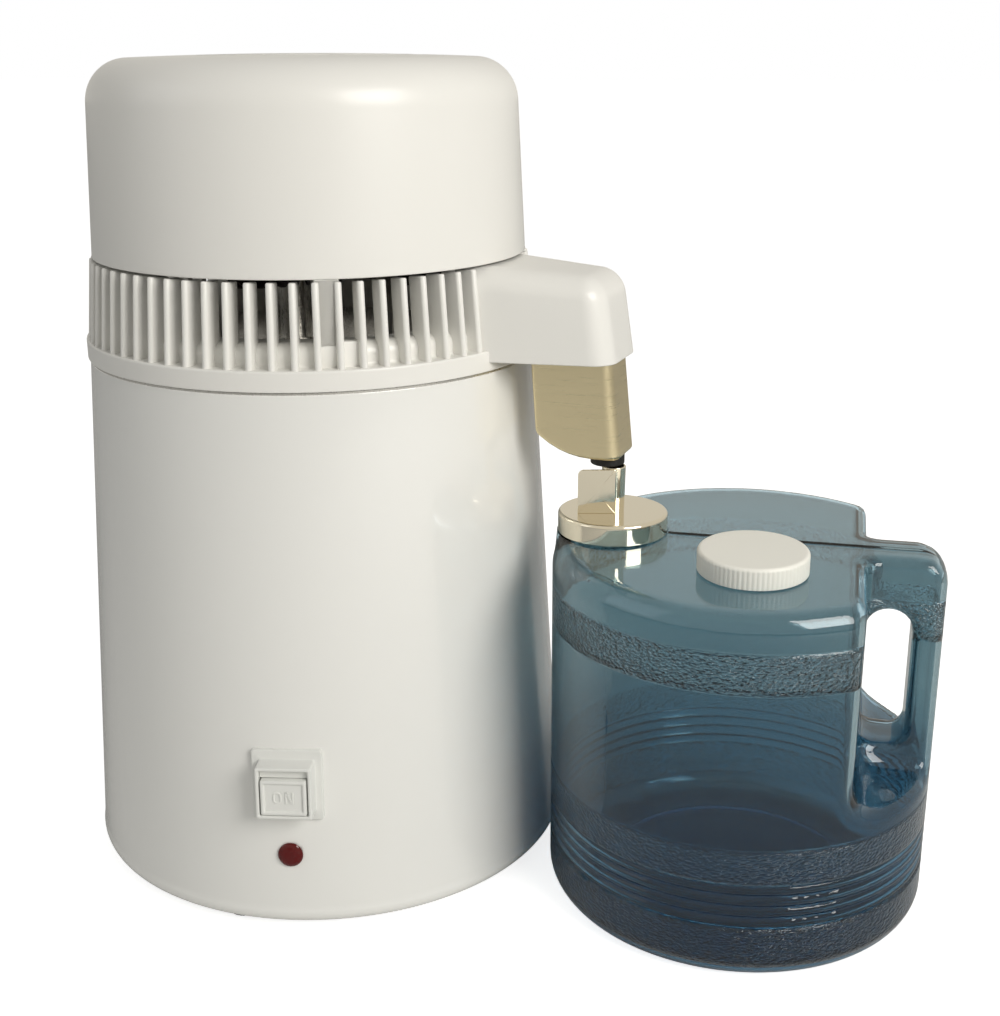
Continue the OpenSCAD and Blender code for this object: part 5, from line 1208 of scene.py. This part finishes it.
class DISTILLER_OT_lid(Maker):
    """Make the fill lid with its collar and thumb tab"""
    bl_idname = "distiller.lid"
    bl_label = "Fill lid"

    def build(self, context):
        s = sizes("jug")
        steel, t, high = polished_steel(), s.lid_t, s.collar_h
        hole = s.collar_r - 1.8 * MM
        # A pressed cap with a rolled lower edge
        line = soften([(hole, s.lid_top, 0), (s.lid_r, s.lid_top, 1.6 * MM), (s.lid_r, s.lid_low, 0.4 * MM),
                       (s.lid_r - t, s.lid_low, 0.3 * MM), (s.lid_r - t, s.lid_top - t, 0.6 * MM),
                       (hole, s.lid_top - t, 0)], 6)
        lid = moved(lathe(support(line, 0.5 * MM, 3 * MM, True), 192), shift(s.lid_x))
        make_piece("fill_lid_pressing", "fill_lid", lid, steel, sharp=50)
        wall, flare, r = 0.8 * MM, 0.4 * MM, s.collar_r
        tube = soften([(r - wall - flare, 0, 0), (r - flare, 0, 0), (r, high, 0.3 * MM),
                       (r - wall, high, 0.3 * MM)], 3)
        collar = lathe(support(tube, 0.3 * MM, 3 * MM, True), 96)

        def tab_line(inset):
            """The tab's side view drawn in by inset: its outer upper corner is the round one."""
            out, root, top = -s.tab_reach + inset, 0.4 * MM - inset, high - 0.5 * MM - inset
            return soften([(out, inset, 0.3 * MM), (root, inset, 0.2 * MM), (root, top, 0.5 * MM),
                           (out, top, 2.5 * MM - inset)], 6)

        chamfer = 0.15 * MM
        tab = slab(tab_line(0), tab_line(chamfer), 1 * MM, chamfer)
        stand = (Matrix.Rotation(s.tab_turn, 4, "Z") @ shift(0, flare - r)
                 @ Matrix.Rotation(math.pi / 2, 4, "X"))
        skin = moved(join(collar, moved(tab, stand)), shift(s.lid_x, 0, s.lid_top))
        make_piece("lid_collar_sheet", "lid_collar", skin, steel, sharp=40)


class DISTILLER_OT_screw_cap(Maker):
    """Make the screw cap: a turned shell whose side is drawn in by a row of flutes"""
    bl_idname = "distiller.screw_cap"
    bl_label = "Screw cap"

    def build(self, context):
        s = sizes("jug")
        r, high, e, bore = s.cap_r, s.cap_h, s.cap_edge, s.cap_bore
        inside = high - 1.6 * MM
        line = [(bore, 0, 0.2 * MM), (r, 0, 0.4 * MM), (r, high, e), (0, high + 0.01 * MM, 0)]
        line = support(soften(line, 7, closed=False), 0.5 * MM, 2.5 * MM)
        inner = np.array([(0, inside), (bore - 0.4 * MM, inside), (bore, inside - 0.4 * MM)])
        radius, z = np.concatenate([line, inner]).T
        angles = np.linspace(0, math.tau, 6 * s.flutes, endpoint=False)[:, None]
        # Flute: a squared cosine wave, deepest on the straight side and fading into the rounded edge
        skirt = 1.2 * MM
        fade = np.clip((radius - (r - skirt)) / skirt, 0, 1) * np.clip((high - z) / (1.5 * e), 0, 1) ** 0.5
        wave = 0.5 - 0.5 * np.cos(angles * s.flutes)
        skin = grid(around(radius - s.flute * wave ** 2 * fade, angles, z), wrap_u=True, wrap_v=True)
        place = jug_place(s.cap_x, -s.cap_side, s.cap_z) @ Matrix.Rotation(s.cap_tilt, 4, "X")
        make_piece("screw_cap_shell", "screw_cap", moved(skin, place), moulded_cap(), sharp=50)


class DISTILLER_OT_stage(Maker):
    """Make the floor, the studio light and the camera"""
    bl_idname = "distiller.stage"
    bl_label = "Stage"

    def build(self, context):
        scene = context.scene
        half = 20.0
        mesh = bpy.data.meshes.new("floor")
        corners = [(-half, -half, 0), (half, -half, 0), (half, half, 0), (-half, half, 0)]
        mesh.from_pydata(corners, [], [(0, 1, 2, 3)])
        floor = bpy.data.objects.new("floor", mesh)
        scene.collection.objects.link(floor)
        # Seen by the camera the paper glows up to white, and it keeps the shadow
        mat = bpy.data.materials.new("paper, matt white")
        mesh.materials.append(mat)
        tree = cleared(mat)
        path = add_node(tree, "ShaderNodeLightPath").outputs
        paper = add_node(tree, "ShaderNodeBsdfDiffuse", {"Color": linear("#E6E6E4")}).outputs["BSDF"]
        glow = add_node(tree, "ShaderNodeEmission", {"Color": (1, 1, 1, 1), "Strength": 0.79})
        lit = add_node(tree, "ShaderNodeAddShader", {0: paper, 1: glow.outputs["Emission"]}).outputs["Shader"]
        mix = add_node(tree, "ShaderNodeMixShader", {0: path["Is Camera Ray"], 1: paper, 2: lit})
        add_node(tree, "ShaderNodeOutputMaterial", {"Surface": mix.outputs["Shader"]})

        # The camera sees white, mirrors see a warm pale room, and the rest is a weak even light
        world = scene.world = bpy.data.worlds.new("studio")
        tree = cleared(world)
        path = add_node(tree, "ShaderNodeLightPath").outputs
        seen = add_node(tree, "ShaderNodeMath", {0: path["Is Camera Ray"], 1: path["Is Transmission Ray"]},
                        operation="MAXIMUM").outputs["Value"]
        ambient, room, white = (
            add_node(tree, "ShaderNodeBackground", {"Color": linear(shade), "Strength": strength}).outputs[0]
            for shade, strength in (("#FFFDF8", 0.3), ("#F2EDE2", 0.8), ("#FFFFFF", 1.0)))
        mirror = add_node(tree, "ShaderNodeMixShader", {0: path["Is Glossy Ray"], 1: ambient, 2: room})
        mix = add_node(tree, "ShaderNodeMixShader", {0: seen, 1: mirror.outputs["Shader"], 2: white})
        add_node(tree, "ShaderNodeOutputWorld", {"Surface": mix.outputs["Shader"]})

        # Softboxes: name, place, width, watts, colour; both face the middle of the object
        aim = Vector((0.1, 0, 0.18))
        for name, place, size, power, shade in (("key", (1.45, -0.7, 1.0), 0.9, 21, "#FFFCF7"),
                                                ("fill", (-1.2, -1.0, 0.9), 1.2, 2.5, "#F4F7FF")):
            lamp = bpy.data.lights.new(name, "AREA")
            lamp.size, lamp.energy, lamp.color = size, power, linear(shade)[:3]
            holder = bpy.data.objects.new(name, lamp)
            holder.location = place
            holder.rotation_euler = (aim - holder.location).to_track_quat("-Z", "Y").to_euler()
            scene.collection.objects.link(holder)

        # The lens, the place and the two directions were fitted to the ellipses of the housing and the jug
        sensor, image_w, focal_px = 36, 1016, 1419.6
        place = Vector((0.3186, -0.5773, 0.3693))
        right, ahead = Vector((0.9311, 0.3647, -0.0041)), Vector((-0.3485, 0.8865, -0.3043)).normalized()
        camera = bpy.data.cameras.new("camera")
        camera.sensor_width, camera.lens, camera.clip_start = sensor, sensor * focal_px / image_w, 0.01
        view = bpy.data.objects.new("camera", camera)
        right = (right - ahead * right.dot(ahead)).normalized()
        turn = Matrix((right, right.cross(ahead), -ahead)).transposed().to_4x4()
        view.matrix_world = Matrix.Translation(place) @ turn
        scene.collection.objects.link(view)
        scene.camera = view
        scene.view_settings.view_transform = "Standard"


OPERATORS = (DISTILLER_OT_inner_works, DISTILLER_OT_housing, DISTILLER_OT_switch, DISTILLER_OT_louvre_ring,
             DISTILLER_OT_spout_arm, DISTILLER_OT_cover, DISTILLER_OT_spout_cover, DISTILLER_OT_jug,
             DISTILLER_OT_lid, DISTILLER_OT_screw_cap, DISTILLER_OT_stage)


class DISTILLER_PT_panel(bpy.types.Panel):
    """Sizes, finishes and the operators, in the sidebar"""
    bl_label = "Distiller"
    bl_idname = "DISTILLER_PT_panel"
    bl_space_type = "VIEW_3D"
    bl_region_type = "UI"
    bl_category = "Distiller"

    def draw(self, context):
        layout = self.layout
        for name, group in GROUPS.items():
            box = layout.box()
            box.label(text=name.capitalize())
            values = getattr(context.scene, "distiller_" + name)
            for key in group.__annotations__:
                box.prop(values, key)
        for operator in OPERATORS:
            layout.operator(operator.bl_idname)


def register():
    for group in GROUPS.values():
        bpy.utils.register_class(group)
    for name, group in GROUPS.items():
        setattr(bpy.types.Scene, "distiller_" + name, PointerProperty(type=group))
    for item in (*OPERATORS, DISTILLER_PT_panel):
        bpy.utils.register_class(item)


def unregister():
    for item in (DISTILLER_PT_panel, *reversed(OPERATORS)):
        bpy.utils.unregister_class(item)
    for name in GROUPS:
        delattr(bpy.types.Scene, "distiller_" + name)
    for group in reversed(GROUPS.values()):
        bpy.utils.unregister_class(group)


def main():
    register()
    for operator in OPERATORS:
        group, name = operator.bl_idname.split(".")
        getattr(getattr(bpy.ops, group), name)()


if __name__ == "__main__":
    main()
